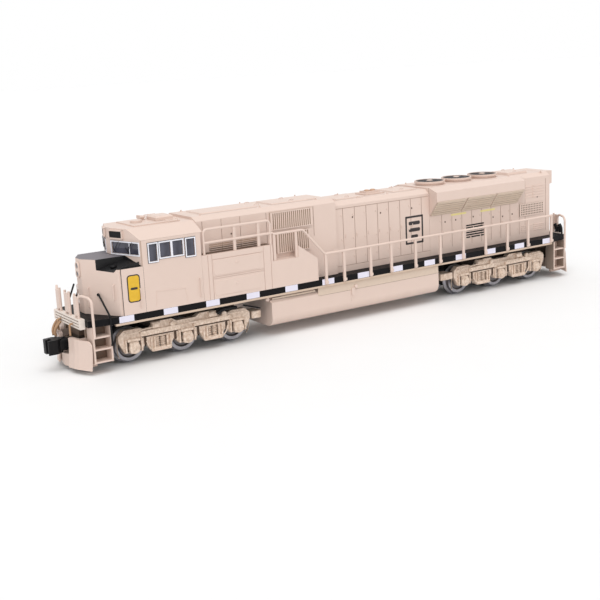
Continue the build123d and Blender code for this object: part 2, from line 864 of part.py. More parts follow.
# Exhaust stack, roof hatches, horn and antenna
stack_x_share = 0.473
stack_x = radiator_front + long_hood_length * stack_x_share
stack_length = 4.4
stack_width = 2.6
stack_height = 0.75
stack_wall = 0.35
stack_base_margin = 0.8
stack_base_height = 0.25
hood_roof_z = above_rail(hood_roof_height)
with BuildPart() as exhaust_stack:
    with Locations((stack_x, 0, hood_roof_z + seat_gap)):
        Box(
            stack_length + 2 * stack_base_margin,
            stack_width + 2 * stack_base_margin,
            stack_base_height,
            align=(Align.CENTER, Align.CENTER, Align.MIN),
        )
        Box(stack_length, stack_width, stack_height, align=(Align.CENTER, Align.CENTER, Align.MIN))
    with BuildSketch(Plane.XY.offset(hood_roof_z + seat_gap + stack_height)):
        with Locations((stack_x, 0)):
            Rectangle(stack_length - 2 * stack_wall, stack_width - 2 * stack_wall)
    extrude(amount=-stack_height / 2, mode=Mode.SUBTRACT)
exhaust_stack.part.label = "exhaust_stack"
export_step(exhaust_stack.part, "parts/exhaust_stack.step")

hatch_table = [
    # start and end as a share of the roof, roof's rear and front, edge inset, height, roof it sits on
    (0.13, 0.3, hood_rear, radiator_front, 1.5, 0.6, radiator_roof_height),
    (0.06, 0.32, radiator_front, equipment_hood_rear, 1.2, 0.25, hood_roof_height),
    (0.63, 0.91, radiator_front, equipment_hood_rear, 1.2, 0.25, hood_roof_height),
    (0.08, 0.41, equipment_hood_rear, cab_rear, 1.2, 0.25, equipment_roof_height),
    (0.51, 0.9, equipment_hood_rear, cab_rear, 1.2, 0.25, equipment_roof_height),
]
hatch_edge = 0.18
with BuildPart() as roof_hatches:
    for start_share, end_share, rear, front, inset, height, roof in hatch_table:
        middle = rear + (front - rear) * (start_share + end_share) / 2
        length = (front - rear) * (end_share - start_share)
        half = hood_roof_half - inset
        with BuildSketch(Plane.XY.offset(above_rail(roof) + seat_gap)):
            with Locations((middle, 0)):
                Rectangle(length, 2 * half)
        with BuildSketch(Plane.XY.offset(above_rail(roof) + seat_gap + height)):
            with Locations((middle, 0)):
                Rectangle(length - 2 * hatch_edge, 2 * half - 2 * hatch_edge)
        loft()
roof_hatches.part.label = "roof_hatches"
export_step(roof_hatches.part, "parts/roof_hatches.step")

rib_top = above_rail(cab_roof_height) + roof_rib_thick
cooler_set_in = 4.5
cooler_length = 4.2
cooler_half = 2.4
cooler_height = 0.95
antenna_set_back = 6.8
antenna_radius = 1.3
antenna_height = 0.45
cooler_x = cab_rear + cooler_set_in
antenna_x = cab_front - antenna_set_back
with BuildPart() as cab_roof_units:
    with Locations((cooler_x, 0, rib_top + seat_gap)):
        Box(cooler_length, 2 * cooler_half, cooler_height, align=(Align.CENTER, Align.CENTER, Align.MIN))
    cooler_top = cab_roof_units.faces().sort_by(Axis.Z)[-1]
    chamfer(cooler_top.edges(), cooler_height / 3)
    with Locations((antenna_x, 0, rib_top + seat_gap)):
        Cylinder(antenna_radius, antenna_height, align=(Align.CENTER, Align.CENTER, Align.MIN))
cab_roof_units.part.label = "cab_roof_units"
export_step(cab_roof_units.part, "parts/cab_roof_units.step")

horn_set_back = 9.4
horn_x = cab_front - horn_set_back
horn_bell_radius = 0.42
horn_throat_radius = 0.16
horn_length = 1.5
horn_pitch = 0.62
horn_height = 0.4
horn_foot = 0.3
horn_side = -2.6
with BuildPart() as horn:
    horn_z = rib_top + seat_gap + horn_height + horn_bell_radius / 2
    for index in (-1, 0, 1):
        with Locations(Location((horn_x, horn_side + index * horn_pitch, horn_z), (0, 90, 0))):
            Cone(horn_throat_radius, horn_bell_radius, horn_length)
    block(
        (horn_x - horn_foot, horn_side - horn_pitch, rib_top + seat_gap),
        (horn_x + horn_foot, horn_side + horn_pitch, horn_z),
    )
horn.part.label = "horn"
export_step(horn.part, "parts/horn.step")

# Rear lamps and number boards under the overhang
rear_board_half = 4.0
rear_board_width = 2.6
with BuildPart() as rear_lamps:
    with BuildSketch(Plane.YZ.offset(overhang_rear - seat_gap)):
        with Locations((0, above_rail((overhang_low_height + radiator_roof_height) / 2))):
            SlotCenterToCenter(lamp_pitch, 2 * (lamp_radius + housing_margin))
    extrude(amount=-lamp_stand_off)
    with BuildSketch(Plane.YZ.offset(overhang_rear - seat_gap - lamp_stand_off)):
        with Locations((0, above_rail((overhang_low_height + radiator_roof_height) / 2))):
            with GridLocations(lamp_pitch, lamp_pitch, 2, 1):
                Circle(lamp_radius)
    extrude(amount=lamp_lens_depth, mode=Mode.SUBTRACT)
    with BuildSketch(Plane.YZ.offset(overhang_rear - seat_gap)):
        with Locations((0, above_rail((overhang_low_height + radiator_roof_height) / 2))):
            with GridLocations(2 * (rear_board_half - board_height / 2), lamp_pitch, 2, 1):
                RectangleRounded(rear_board_width - board_thick, board_height, groove_width)
    extrude(amount=-board_thick)
rear_lamps.part.label = "rear_lamps"
export_step(rear_lamps.part, "parts/rear_lamps.step")

# Fuel tank slung between the trucks
tank_front_clearance = 21.3
tank_rear_clearance = 22.7
tank_bottom_height = 2.0
tank_side_height = 7.7
tank_inset = 0.55
tank_top_inset = 1.6
tank_corner = 2.2
tank_skirt = 9.0
hanger_half = 6.0
filler_share = 0.54
filler_length = 0.9
filler_low_height = 5.9
filler_stand_off = 0.3
tank_front = truck_x - tank_front_clearance
tank_rear = tank_rear_clearance - truck_x
tank_half = half_width - tank_inset
tank_top_half = tank_half - tank_top_inset
filler_x = tank_rear + (tank_front - tank_rear) * filler_share
with BuildPart() as fuel_tank:
    with BuildSketch(Plane.YZ.offset(tank_rear)):
        with BuildLine():
            Polyline(
                (-tank_half, above_rail(tank_bottom_height)),
                (tank_half, above_rail(tank_bottom_height)),
                (tank_half, above_rail(tank_side_height)),
                (tank_top_half, above_rail(tank_skirt)),
                (hanger_half, above_rail(tank_skirt)),
                (hanger_half, deck_bottom - seat_gap),
                (centre_sill_half + seat_gap, deck_bottom - seat_gap),
                (centre_sill_half + seat_gap, above_rail(centre_sill_height) - seat_gap),
                (-centre_sill_half - seat_gap, above_rail(centre_sill_height) - seat_gap),
                (-centre_sill_half - seat_gap, deck_bottom - seat_gap),
                (-hanger_half, deck_bottom - seat_gap),
                (-hanger_half, above_rail(tank_skirt)),
                (-tank_top_half, above_rail(tank_skirt)),
                (-tank_half, above_rail(tank_side_height)),
                close=True,
            )
        make_face()
    extrude(amount=tank_front - tank_rear)
    low_edges = fuel_tank.edges().filter_by(Axis.X).group_by(Axis.Z)[0]
    fillet(low_edges, tank_corner)
    for side in (-1, 1):
        inner = side * (tank_top_half - filler_stand_off)
        outer = side * (tank_half + filler_stand_off)
        block(
            (filler_x - filler_length / 2, min(inner, outer), above_rail(filler_low_height)),
            (filler_x + filler_length / 2, max(inner, outer), above_rail(tank_side_height)),
        )
fuel_tank.part.label = "fuel_tank"
export_step(fuel_tank.part, "parts/fuel_tank.step")

# Anticlimber: ribbed beam across both platforms
beam_reach = 1.2
beam_inset = 1.5
beam_drop = 1.9
beam_rise = 0.25
beam_slot_pitch = 0.62
beam_slot_height = 0.26
beam_slots = 3
beam_half = platform_end_half - beam_inset
beam_low_height = deck_height - beam_drop
beam_top_height = deck_height + beam_rise
with BuildPart() as anticlimbers:
    for end in (-1, 1):
        near = end * (platform_end + seat_gap)
        far = end * (platform_end + beam_reach)
        block(
            (min(near, far), -beam_half, above_rail(beam_low_height)),
            (max(near, far), beam_half, above_rail(beam_top_height)),
        )
        with Locations((far, 0, above_rail((beam_low_height + beam_top_height) / 2))):
            with GridLocations(beam_slot_pitch, beam_slot_pitch, 1, 1):
                for row in range(beam_slots):
                    offset_z = (row - (beam_slots - 1) / 2) * beam_slot_pitch
                    with Locations((0, 0, offset_z)):
                        Box(beam_reach / 2, 2 * beam_half - beam_reach, beam_slot_height, mode=Mode.SUBTRACT)
anticlimbers.part.label = "anticlimbers"
export_step(anticlimbers.part, "parts/anticlimbers.step")

# Corner steps below the platforms
step_set_back = 4.8
step_set_in = 0.5
step_inset = 3.35
step_plate = 0.4
step_tread_heights = [7.6, 5.0, 2.3]
step_tread_thick = 0.35
step_bottom_height = 1.9
step_inner_x = platform_end - step_set_back
step_outer_x = platform_end - step_set_in
step_inner_half = half_width - step_inset


def corner_steps(end):
    """Both stepwells of one end: side plates, back plate and treads."""
    for side in (-1, 1):
        wide = sorted((side * step_inner_half, side * (half_width - step_plate)))
        for x in (step_inner_x, step_outer_x - step_plate):
            ends = sorted((end * x, end * (x + step_plate)))
            block(
                (ends[0], wide[0], above_rail(step_bottom_height)),
                (ends[1], wide[1], deck_bottom - seat_gap),
            )
        span = sorted((end * step_inner_x, end * step_outer_x))
        back = sorted((side * step_inner_half, side * (step_inner_half + step_plate)))
        block(
            (span[0], back[0], above_rail(step_bottom_height)),
            (span[1], back[1], deck_bottom - seat_gap),
        )
        for height in step_tread_heights:
            block(
                (span[0], wide[0], above_rail(height) - step_tread_thick),
                (span[1], wide[1], above_rail(height)),
            )


with BuildPart() as front_steps:
    corner_steps(1)
front_steps.part.label = "front_steps"
export_step(front_steps.part, "parts/front_steps.step")

with BuildPart() as rear_steps:
    corner_steps(-1)
rear_steps.part.label = "rear_steps"
export_step(rear_steps.part, "parts/rear_steps.step")

# Pilot plow: a shallow wedge with returns to the steps
plow_reach = 2.6
plow_corner_reach = 1.4
plow_inset = 0.5
plow_set_back = 2.4
plow_thick = 0.6
plow_low_height = 0.5
plow_top_drop = 4.1
plow_mouth_half = 2.6
plow_mouth_height = 3.2
plow_top_height = deck_height - plow_top_drop
plow_tip = platform_end + plow_reach
plow_corner = platform_end + plow_corner_reach
plow_half = step_inner_half - plow_inset
plow_rear = platform_end - plow_set_back


def pilot(end):
    """Wedge blade, side returns and the opening around the coupler."""
    outer = [
        (end * plow_tip, 0),
        (end * plow_corner, plow_half),
        (end * plow_rear, plow_half),
        (end * plow_rear, 0),
    ]
    inner = [
        (end * (plow_tip - plow_thick), 0),
        (end * (plow_corner - plow_thick), plow_half - plow_thick),
        (end * (plow_rear - plow_thick), plow_half - plow_thick),
        (end * (plow_rear - plow_thick), 0),
    ]
    low = above_rail(plow_low_height)
    high = above_rail(plow_top_height)
    prism(both_sides(outer), low, high)
    prism(both_sides(inner), low, high, Mode.SUBTRACT)
    mouth = sorted((end * (plow_rear + plow_thick), end * (plow_tip + plow_thick)))
    block(
        (mouth[0], -plow_mouth_half, above_rail(plow_mouth_height)),
        (mouth[1], plow_mouth_half, high),
        Mode.SUBTRACT,
    )
    roof = sorted((end * plow_rear, end * (platform_end - step_plate)))
    for side in (-1, 1):
        web = sorted((side * (plow_half - plow_thick), side * plow_half))
        block((roof[0], web[0], high), (roof[1], web[1], deck_bottom - seat_gap))


with BuildPart() as front_pilot:
    pilot(1)
front_pilot.part.label = "front_pilot"
export_step(front_pilot.part, "parts/front_pilot.step")

with BuildPart() as rear_pilot:
    pilot(-1)
rear_pilot.part.label = "rear_pilot"
export_step(rear_pilot.part, "parts/rear_pilot.step")

# Coupler pockets hang under the platforms; each holds an upright pin
coupler_height = 5.1
pocket_back_reach = 1.8
pocket_front_reach = 4.0
pocket_half = 2.2
pocket_wall = 0.35
pocket_floor = 0.45
pocket_inside = 1.6
coupler_swing_length = 9.15
coupler_pin_radius = 0.5
shank_thick = 1.0
shank_half = 0.6
coupler_face = platform_end + coupler_reach
coupler_pin_x = coupler_face - coupler_swing_length
pocket_rear = coupler_pin_x - pocket_back_reach
pocket_front = coupler_pin_x + pocket_front_reach
pocket_low = above_rail(coupler_height) - pocket_inside / 2
pocket_high = above_rail(coupler_height) + pocket_inside / 2
with BuildPart() as coupler_pockets:
    for end in (-1, 1):
        span = sorted((end * pocket_rear, end * pocket_front))
        room = sorted((end * (pocket_rear + pocket_wall), end * (pocket_front + pocket_wall)))
        block(
            (span[0], -pocket_half, pocket_low - pocket_floor),
            (span[1], pocket_half, pocket_high + pocket_floor),
        )
        block(
            (room[0], -pocket_half + pocket_wall, pocket_low),
            (room[1], pocket_half - pocket_wall, pocket_high),
            Mode.SUBTRACT,
        )
        with Locations((end * coupler_pin_x, 0, (pocket_low + pocket_high) / 2)):
            Cylinder(coupler_pin_radius, pocket_inside)
        post = sorted((end * pocket_rear, end * (platform_end - step_plate)))
        block(
            (post[0], -pocket_half, pocket_high + pocket_floor),
            (post[1], pocket_half, deck_bottom - seat_gap),
        )
coupler_pockets.part.label = "coupler_pockets"
export_step(coupler_pockets.part, "parts/coupler_pockets.step")

# Knuckle coupler: shank with an eye, head with guard arm and knuckle
head_length = 3.45
head_rear = coupler_face - head_length
head_low_drop = 1.55
head_half_rear = 0.8
guard_half = 1.75
throat_depth = 1.15
knuckle_width = 0.75
head_slope = 0.9
eye_radius = 1.0
head_plan = [
    # distance along the body, distance to the left
    (head_rear, -head_half_rear),
    (head_rear, head_half_rear),
    (coupler_face - throat_depth - head_slope, guard_half),
    (coupler_face, guard_half),
    (coupler_face, guard_half - knuckle_width / 2),
    (coupler_face - throat_depth, guard_half - knuckle_width),
    (coupler_face - throat_depth, -knuckle_width / 2),
    (coupler_face - throat_depth / 2, -knuckle_width / 2),
    (coupler_face - throat_depth / 2, 0),
    (coupler_face, 0),
    (coupler_face, -guard_half + knuckle_width / 2),
    (coupler_face - throat_depth - head_slope, -guard_half),
]


def coupler(end):
    """Eye, shank and head of one coupler."""
    with Locations((end * coupler_pin_x, 0, above_rail(coupler_height))):
        Cylinder(eye_radius, shank_thick)
    shank = sorted((end * coupler_pin_x, end * (head_rear + shank_half)))
    block(
        (shank[0], -shank_half, above_rail(coupler_height) - shank_thick / 2),
        (shank[1], shank_half, above_rail(coupler_height) + shank_thick / 2),
    )
    with Locations((end * coupler_pin_x, 0, above_rail(coupler_height))):
        Cylinder(coupler_pin_radius + running_gap, shank_thick, mode=Mode.SUBTRACT)
    prism(
        [(end * x, end * y) for x, y in head_plan],
        above_rail(coupler_height) - head_low_drop,
        above_rail(coupler_height) + head_low_drop,
    )


with BuildPart() as front_coupler:
    coupler(1)
front_coupler.part.label = "front_coupler"
export_step(front_coupler.part, "parts/front_coupler.step")

with BuildPart() as rear_coupler:
    coupler(-1)
rear_coupler.part.label = "rear_coupler"
export_step(rear_coupler.part, "parts/rear_coupler.step")

# Wheelsets: axle, flanged wheels and bearing stubs are one turned piece
back_to_back = 7.45
flange_thick = 0.6
wheel_width = 1.65
axle_radius = 0.75
stub_radius = 0.45
stub_end = 7.0
rim_depth = 0.75
web_recess = 0.35
hub_radius = 1.1
wheel_back = back_to_back / 2
wheel_face = wheel_back + wheel_width
wheel_profile = [
    # radius, distance from the middle of the axle
    (0, stub_end),
    (stub_radius, stub_end),
    (stub_radius, wheel_face),
    (hub_radius, wheel_face),
    (hub_radius + web_recess, wheel_face - web_recess),
    (wheel_radius - rim_depth - web_recess, wheel_face - web_recess),
    (wheel_radius - rim_depth, wheel_face),
    (wheel_radius - running_gap, wheel_face),
    (wheel_radius, wheel_back + flange_thick + running_gap),
    (wheel_radius + flange_depth, wheel_back + flange_thick / 2),
    (wheel_radius + flange_depth, wheel_back + running_gap),
    (wheel_radius + flange_depth - running_gap, wheel_back),
    (axle_radius, wheel_back),
]
wheelset_table = [
    ("wheelset_1", truck_x + axle_spacing),
    ("wheelset_2", truck_x),
    ("wheelset_3", truck_x - axle_spacing),
    ("wheelset_4", -truck_x + axle_spacing),
    ("wheelset_5", -truck_x),
    ("wheelset_6", -truck_x - axle_spacing),
]
for node_name, axle_x in wheelset_table:
    with BuildPart() as wheelset:
        with BuildSketch(Plane(origin=(axle_x, 0, axle_z), x_dir=(0, 0, 1), z_dir=(1, 0, 0))):
            with BuildLine():
                left_half = [(radius, -y) for radius, y in wheel_profile]
                right_half = [(radius, y) for radius, y in reversed(wheel_profile)]
                Polyline(*left_half, *right_half, close=True)
            make_face()
        revolve(axis=Axis((axle_x, 0, axle_z), (0, 1, 0)))
    wheelset.part.label = node_name
    export_step(wheelset.part, f"parts/{node_name}.step")

# Truck frames: cast side frames joined by transoms and a centre plate
frame_inner = 6.2
frame_outer = 7.6
journal_outer = 8.4
journal_radius = 1.25
journal_rib_radius = 0.7
transom_x = axle_spacing / 2
transom_half = 0.95
transom_low_height = 6.2
transom_top_height = 7.5
centre_plate_half = 3.0
wear_ring_radius = 2.7
spring_radius = 0.55
spring_offset = 0.75
damper_radius = 0.5
damper_height = 6.1
damper_set_back = 3.2
damper_set_ahead = 4.0
brake_radius = 0.75
brake_length = 1.9
top_half_profile = [
    # axle spacings ahead of the truck's middle, extra distance ahead, height above the rail head
    (1, 3.35, 4.9),
    (1, 3.35, 6.3),
    (1, 2.15, 7.4),
    (1, -1.65, 7.4),
    (1, -2.85, 6.9),
    (0.5, 1.975, 6.9),
    (0.5, 0.975, 8.2),
    (0.5, -3.025, 8.2),
    (0.5, -4.025, 7.5),
]
low_half_profile = [
    # the same columns, along the lower edge from the middle outwards
    (0, 1.9, 2.4),
    (0.5, -3.325, 4.0),
    (0.5, -2.025, 1.9),
    (0.5, 2.175, 1.9),
    (1, -2.95, 4.0),
    (1, -1.95, 2.4),
    (1, 2.05, 2.4),
]
window_half_length = 1.6
window_low = 2.4
window_high = 4.8


def profile_points(table):
    """Turn a profile table into places ahead of the truck's middle and heights."""
    return [(axles * axle_spacing + extra, height) for axles, extra, height in table]


top_half = profile_points(top_half_profile)
low_half = profile_points(low_half_profile)
side_frame_profile = (
    top_half
    + [(-x, z) for x, z in reversed(top_half)]
    + [(-x, z) for x, z in reversed(low_half)]
    + low_half
)
pocket_windows = [transom_x, -transom_x]


def truck_frame(middle_x):
    """Side frames with journals, springs and dampers, plus the parts between them."""
    profile = [(middle_x + x, above_rail(z)) for x, z in side_frame_profile]
    axle_places = [middle_x - axle_spacing, middle_x, middle_x + axle_spacing]
    for side in (-1, 1):
        with BuildSketch(Plane.XZ.offset(-side * frame_inner)) as side_outline:
            with BuildLine():
                Polyline(*profile, close=True)
            make_face()
            for x in pocket_windows:
                with Locations((middle_x + x, above_rail((window_low + window_high) / 2))):
                    Rectangle(2 * window_half_length, window_high - window_low, mode=Mode.SUBTRACT)
        extrude(side_outline.sketch, amount=-side * (frame_outer - frame_inner))
        face_y = side * frame_outer
        outward = Location((0, 0, 0), (-90 * side, 0, 0))
        upright = (Align.CENTER, Align.CENTER, Align.MIN)
        for x in axle_places:
            with Locations(Location((x, face_y, axle_z)) * outward):
                Cylinder(journal_radius, journal_outer - frame_outer, align=upright)
                Cylinder(journal_rib_radius, journal_outer - frame_outer + running_gap * 2, align=upright)
        for x in pocket_windows:
            for offset in (-spring_offset, spring_offset):
                spring_y = side * (frame_inner + frame_outer) / 2
                with Locations((middle_x + x + offset, spring_y, above_rail(window_low))):
                    Cylinder(spring_radius, window_high - window_low, align=upright)
        damper_x = middle_x + transom_x - damper_set_back
        with Locations(Location((damper_x, face_y, above_rail(damper_height)), (0, 90, 0))):
            Cylinder(damper_radius, damper_set_back + damper_set_ahead, align=upright)
        for x in (middle_x - transom_x, middle_x + transom_x + transom_half):
            brake_start = Location((x, face_y, above_rail(transom_top_height)), (0, 90, 0))
            with Locations(brake_start):
                Cylinder(brake_radius, brake_length)
    for x in (middle_x - transom_x, middle_x + transom_x):
        block(
            (x - transom_half, -frame_inner - running_gap, above_rail(transom_low_height)),
            (x + transom_half, frame_inner + running_gap, above_rail(transom_top_height)),
        )
    block(
        (middle_x - transom_x, -centre_plate_half, above_rail(transom_low_height)),
        (middle_x + transom_x, centre_plate_half, above_rail(transom_top_height)),
    )
    with Locations((middle_x, 0, above_rail(transom_top_height))):
        plate_gap = above_rail(centre_sill_height) - above_rail(transom_top_height)
        Cylinder(wear_ring_radius, plate_gap - running_gap, align=(Align.CENTER, Align.CENTER, Align.MIN))
        Cylinder(
            pivot_radius,
            plate_gap + pivot_depth - running_gap,
            align=(Align.CENTER, Align.CENTER, Align.MIN),
        )
    for x in axle_places:
        with Locations(Location((x, 0, axle_z), (90, 0, 0))):
            Cylinder(stub_radius + running_gap, 2 * (stub_end + running_gap), mode=Mode.SUBTRACT)


with BuildPart() as front_truck_frame:
    truck_frame(truck_x)
front_truck_frame.part.label = "front_truck_frame"
export_step(front_truck_frame.part, "parts/front_truck_frame.step")

with BuildPart() as rear_truck_frame:
    truck_frame(-truck_x)
rear_truck_frame.part.label = "rear_truck_frame"
export_step(rear_truck_frame.part, "parts/rear_truck_frame.step")

# Gear cases between the wheels, bored for the three axles
gearcase_half = 3.2
gearcase_overrun = 2.75
gearcase_end = axle_spacing + gearcase_overrun
gearcase_low_height = 1.9
gearcase_notch_height = 3.0
gearcase_gap = 0.1


def gearcase(middle_x):
    """Gear case under the centre plate of one truck."""
    block(
        (middle_x - gearcase_end, -gearcase_half, above_rail(gearcase_low_height)),
        (middle_x + gearcase_end, gearcase_half, above_rail(transom_low_height) - seat_gap),
    )
    low_edges = [middle_x - transom_x, middle_x + transom_x]
    for x in low_edges:
        block(
            (x - transom_half, -gearcase_half, above_rail(gearcase_low_height)),
            (x + transom_half, gearcase_half, above_rail(gearcase_notch_height)),
            Mode.SUBTRACT,
        )
    for x in (middle_x - axle_spacing, middle_x, middle_x + axle_spacing):
        with Locations(Location((x, 0, axle_z), (90, 0, 0))):
            Cylinder(axle_radius + gearcase_gap, 3 * gearcase_half, mode=Mode.SUBTRACT)


with BuildPart() as front_gearcase:
    gearcase(truck_x)
front_gearcase.part.label = "front_gearcase"
export_step(front_gearcase.part, "parts/front_gearcase.step")

with BuildPart() as rear_gearcase:
    gearcase(-truck_x)
rear_gearcase.part.label = "rear_gearcase"
export_step(rear_gearcase.part, "parts/rear_gearcase.step")

# Handrails with flat stanchions along the walkways
rail_radius = 0.28
rail_bend = 0.9
rail_stand_off = 0.2
upper_rail_inset = 0.35
stanchion_half = 0.34
stanchion_thick = 0.35
stanchion_foot_drop = 1.3
handrail_rise = 6.05
rear_rail_set_in = 2.9
handrail_turn_ahead = 5.7
stair_rail_rise = 2.3
stair_rail_set_back = 26.7
stair_rail_start = 18.5
# places of the stanchions as a share of the rail's length, from its front end
stanchion_shares = [0.003, 0.073, 0.178, 0.262, 0.364, 0.471, 0.574, 0.676, 0.779, 0.88, 0.996]
upper_rail_start = 17.9
upper_rail_end = 0.9
upper_rail_rise = 5.55
middle_rail_rise = 2.9
upper_post_offsets = [14.8, 8.6]
rail_half = half_width + rail_stand_off
upper_rail_half = half_width - upper_rail_inset
stanchion_foot_height = deck_height - stanchion_foot_drop
handrail_height = deck_height + handrail_rise
handrail_rear = hood_rear + rear_rail_set_in
handrail_turn = equipment_hood_rear + handrail_turn_ahead
stair_rail_height = cabinet_height + stair_rail_rise
stair_rail_low = cab_rear - stair_rail_set_back
stair_rail_end = cab_rear - stair_rail_start
upper_rail_rear = cab_rear - upper_rail_start
upper_rail_front = cab_rear - upper_rail_end
upper_rail_height = cabinet_height + upper_rail_rise
middle_rail_height = cabinet_height + middle_rail_rise
upper_posts = [cab_rear - offset for offset in upper_post_offsets]
handrail_length = handrail_turn - handrail_rear
stanchion_places = [handrail_turn - handrail_length * share for share in stanchion_shares]
with BuildPart() as left_handrail:
    bar(
        [
            (handrail_rear, rail_half, above_rail(handrail_height)),
            (handrail_turn, rail_half, above_rail(handrail_height)),
            (stair_rail_low, upper_rail_half, above_rail(stair_rail_height)),
            (stair_rail_end, upper_rail_half, above_rail(stair_rail_height)),
        ],
        rail_radius,
        rail_bend,
    )
    post_inner = half_width + seat_gap
    for x in stanchion_places:
        block(
            (x - stanchion_half, post_inner, above_rail(stanchion_foot_height)),
            (x + stanchion_half, post_inner + stanchion_thick, above_rail(handrail_height)),
        )
    upper_inner = upper_rail_half - stanchion_thick / 2
    upper_outer = upper_rail_half + stanchion_thick / 2
    for x in (cabinet_stair_top + stanchion_half, stair_rail_end - stanchion_half):
        block(
            (x - stanchion_half, upper_inner, above_rail(landing_height) + seat_gap),
            (x + stanchion_half, upper_outer, above_rail(stair_rail_height)),
        )
    bar(
        [
            (upper_rail_rear, upper_rail_half, above_rail(cabinet_height) + seat_gap),
            (upper_rail_rear, upper_rail_half, above_rail(upper_rail_height)),
            (upper_rail_front, upper_rail_half, above_rail(upper_rail_height)),
            (upper_rail_front, upper_rail_half, above_rail(cabinet_height) + seat_gap),
        ],
        rail_radius,
        rail_bend,
    )
    bar(
        [
            (stair_rail_end, upper_rail_half, above_rail(middle_rail_height) - rail_radius),
            (upper_rail_front, upper_rail_half, above_rail(middle_rail_height) - rail_radius),
        ],
        rail_radius,
        rail_bend,
    )
    for x in upper_posts:
        block(
            (x - stanchion_half, upper_inner, above_rail(cabinet_height) + seat_gap),
            (x + stanchion_half, upper_outer, above_rail(upper_rail_height)),
        )
left_handrail.part.label = "left_handrail"
export_step(left_handrail.part, "parts/left_handrail.step")

right_handrail = mirror(left_handrail.part, about=Plane.XZ)
right_handrail.label = "right_handrail"
export_step(right_handrail, "parts/right_handrail.step")

# Rails across the ends and down beside the steps
end_rail_reach = 0.6
end_rail_rise = 5.3
corner_rail_sink = 0.5
corner_rail_drop = 3.7
corner_rail_set_in = 0.35
corner_rail_inset = 3.1
gate_halves = [1.1, 4.2]
gate_plate_rise = 1.1
gate_plate_height = 1.4
corner_bend = 1.4
end_rail_x = platform_end + end_rail_reach
end_rail_height = deck_height + end_rail_rise
end_rail_foot = beam_top_height
corner_rail_x = step_outer_x - corner_rail_set_in
corner_rail_half = half_width - step_plate + rail_radius + seat_gap
corner_rail_inner = platform_end_half - corner_rail_inset
corner_rail_top = end_rail_height - corner_rail_sink
corner_rail_foot = deck_height - corner_rail_drop
gate_plate_low = deck_height + gate_plate_rise


def end_rails(end):
    """Two corner rails and the gate posts of one end."""
    for side in (-1, 1):
        bar(
            [
                (end * end_rail_x, side * corner_rail_inner, above_rail(end_rail_foot) + seat_gap),
                (end * end_rail_x, side * corner_rail_inner, above_rail(end_rail_height)),
                (end * corner_rail_x, side * corner_rail_half, above_rail(corner_rail_top)),
                (end * corner_rail_x, side * corner_rail_half, above_rail(corner_rail_foot)),
            ],
            rail_radius,
            corner_bend,
        )
        for half in gate_halves:
            with Locations((end * end_rail_x, side * half, above_rail(end_rail_foot) + seat_gap)):
                Cylinder(
                    rail_radius,
                    end_rail_height - end_rail_foot,
                    align=(Align.CENTER, Align.CENTER, Align.MIN),
                )
    plate = sorted((end * (end_rail_x - rail_radius / 2), end * (end_rail_x + rail_radius / 2)))
    block(
        (plate[0], -gate_halves[0], above_rail(gate_plate_low)),
        (plate[1], gate_halves[0], above_rail(gate_plate_low + gate_plate_height)),
    )


with BuildPart() as front_end_rails:
    end_rails(1)
front_end_rails.part.label = "front_end_rails"
export_step(front_end_rails.part, "parts/front_end_rails.step")

with BuildPart() as rear_end_rails:
    end_rails(-1)
rear_end_rails.part.label = "rear_end_rails"
export_step(rear_end_rails.part, "parts/rear_end_rails.step")

# Dark grab bars that lead from the nose down beside the front steps
grab_radius = 0.2
grab_bend = 0.25
grab_stand_off = 0.1
grab_start_half = 5.0
grab_start_rise = 4.6
grab_turn_rise = 0.5
grab_foot_drop = 5.7
grab_clear = 0.03
nose_panel_half = half_width - nose_corner_inset
panel_share = (grab_start_half - nose_centre_half) / (nose_panel_half - nose_centre_half)
grab_start_x = nose_front - nose_panel_depth * panel_share + grab_radius + grab_stand_off
grab_x = step_inner_x + step_plate / 2
grab_half = half_width + grab_clear
grab_foot = above_rail(deck_height - grab_foot_drop)
with BuildPart() as grab_bars:
    for side in (-1, 1):
        bar(
            [
                (grab_start_x, side * grab_start_half, above_rail(deck_height + grab_start_rise)),
                (grab_x, side * grab_half, above_rail(deck_height + grab_turn_rise)),
                (grab_x, side * grab_half, grab_foot),
                (grab_x, side * (half_width - step_plate + seat_gap), grab_foot),
            ],
            grab_radius,
            grab_bend,
        )
grab_bars.part.label = "grab_bars"
export_step(grab_bars.part, "parts/grab_bars.step")

# Hoses hung on both end beams
hose_radius = 0.22
hose_half = 3.3
hose_reach = 0.7
hose_drop = 1.7
hose_top = above_rail(beam_low_height) + hose_reach
hose_low = above_rail(beam_low_height - hose_drop)
beam_face = platform_end + beam_reach + seat_gap
with BuildPart() as end_hoses:
    for end in (-1, 1):
        for side in (-1, 1):
            bar(
                [
                    (end * beam_face, side * hose_half, hose_top),
                    (end * (beam_face + hose_reach), side * hose_half, hose_top),
                    (end * (beam_face + hose_reach), side * hose_half, hose_low),
                ],
                hose_radius,
                hose_reach / 2,
            )
end_hoses.part.label = "end_hoses"
export_step(end_hoses.part, "parts/end_hoses.step")
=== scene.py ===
# %% [markdown]
# # A small-scale diesel locomotive
# The shell, trucks, rails and couplers arrive as a fixed frame, already at their real size.
# This script dresses them: paint, printed trim, glazing, plated wheels and the fine detail
# that is glued or printed onto such a model. It then sets the camera, the floor and the lamps.
# Numbers are millimetres, and `MM` turns them into Blender's metres.

# %% Load the frame
import bmesh
import bpy
import numpy as np
import math
from mathutils import Matrix, Vector


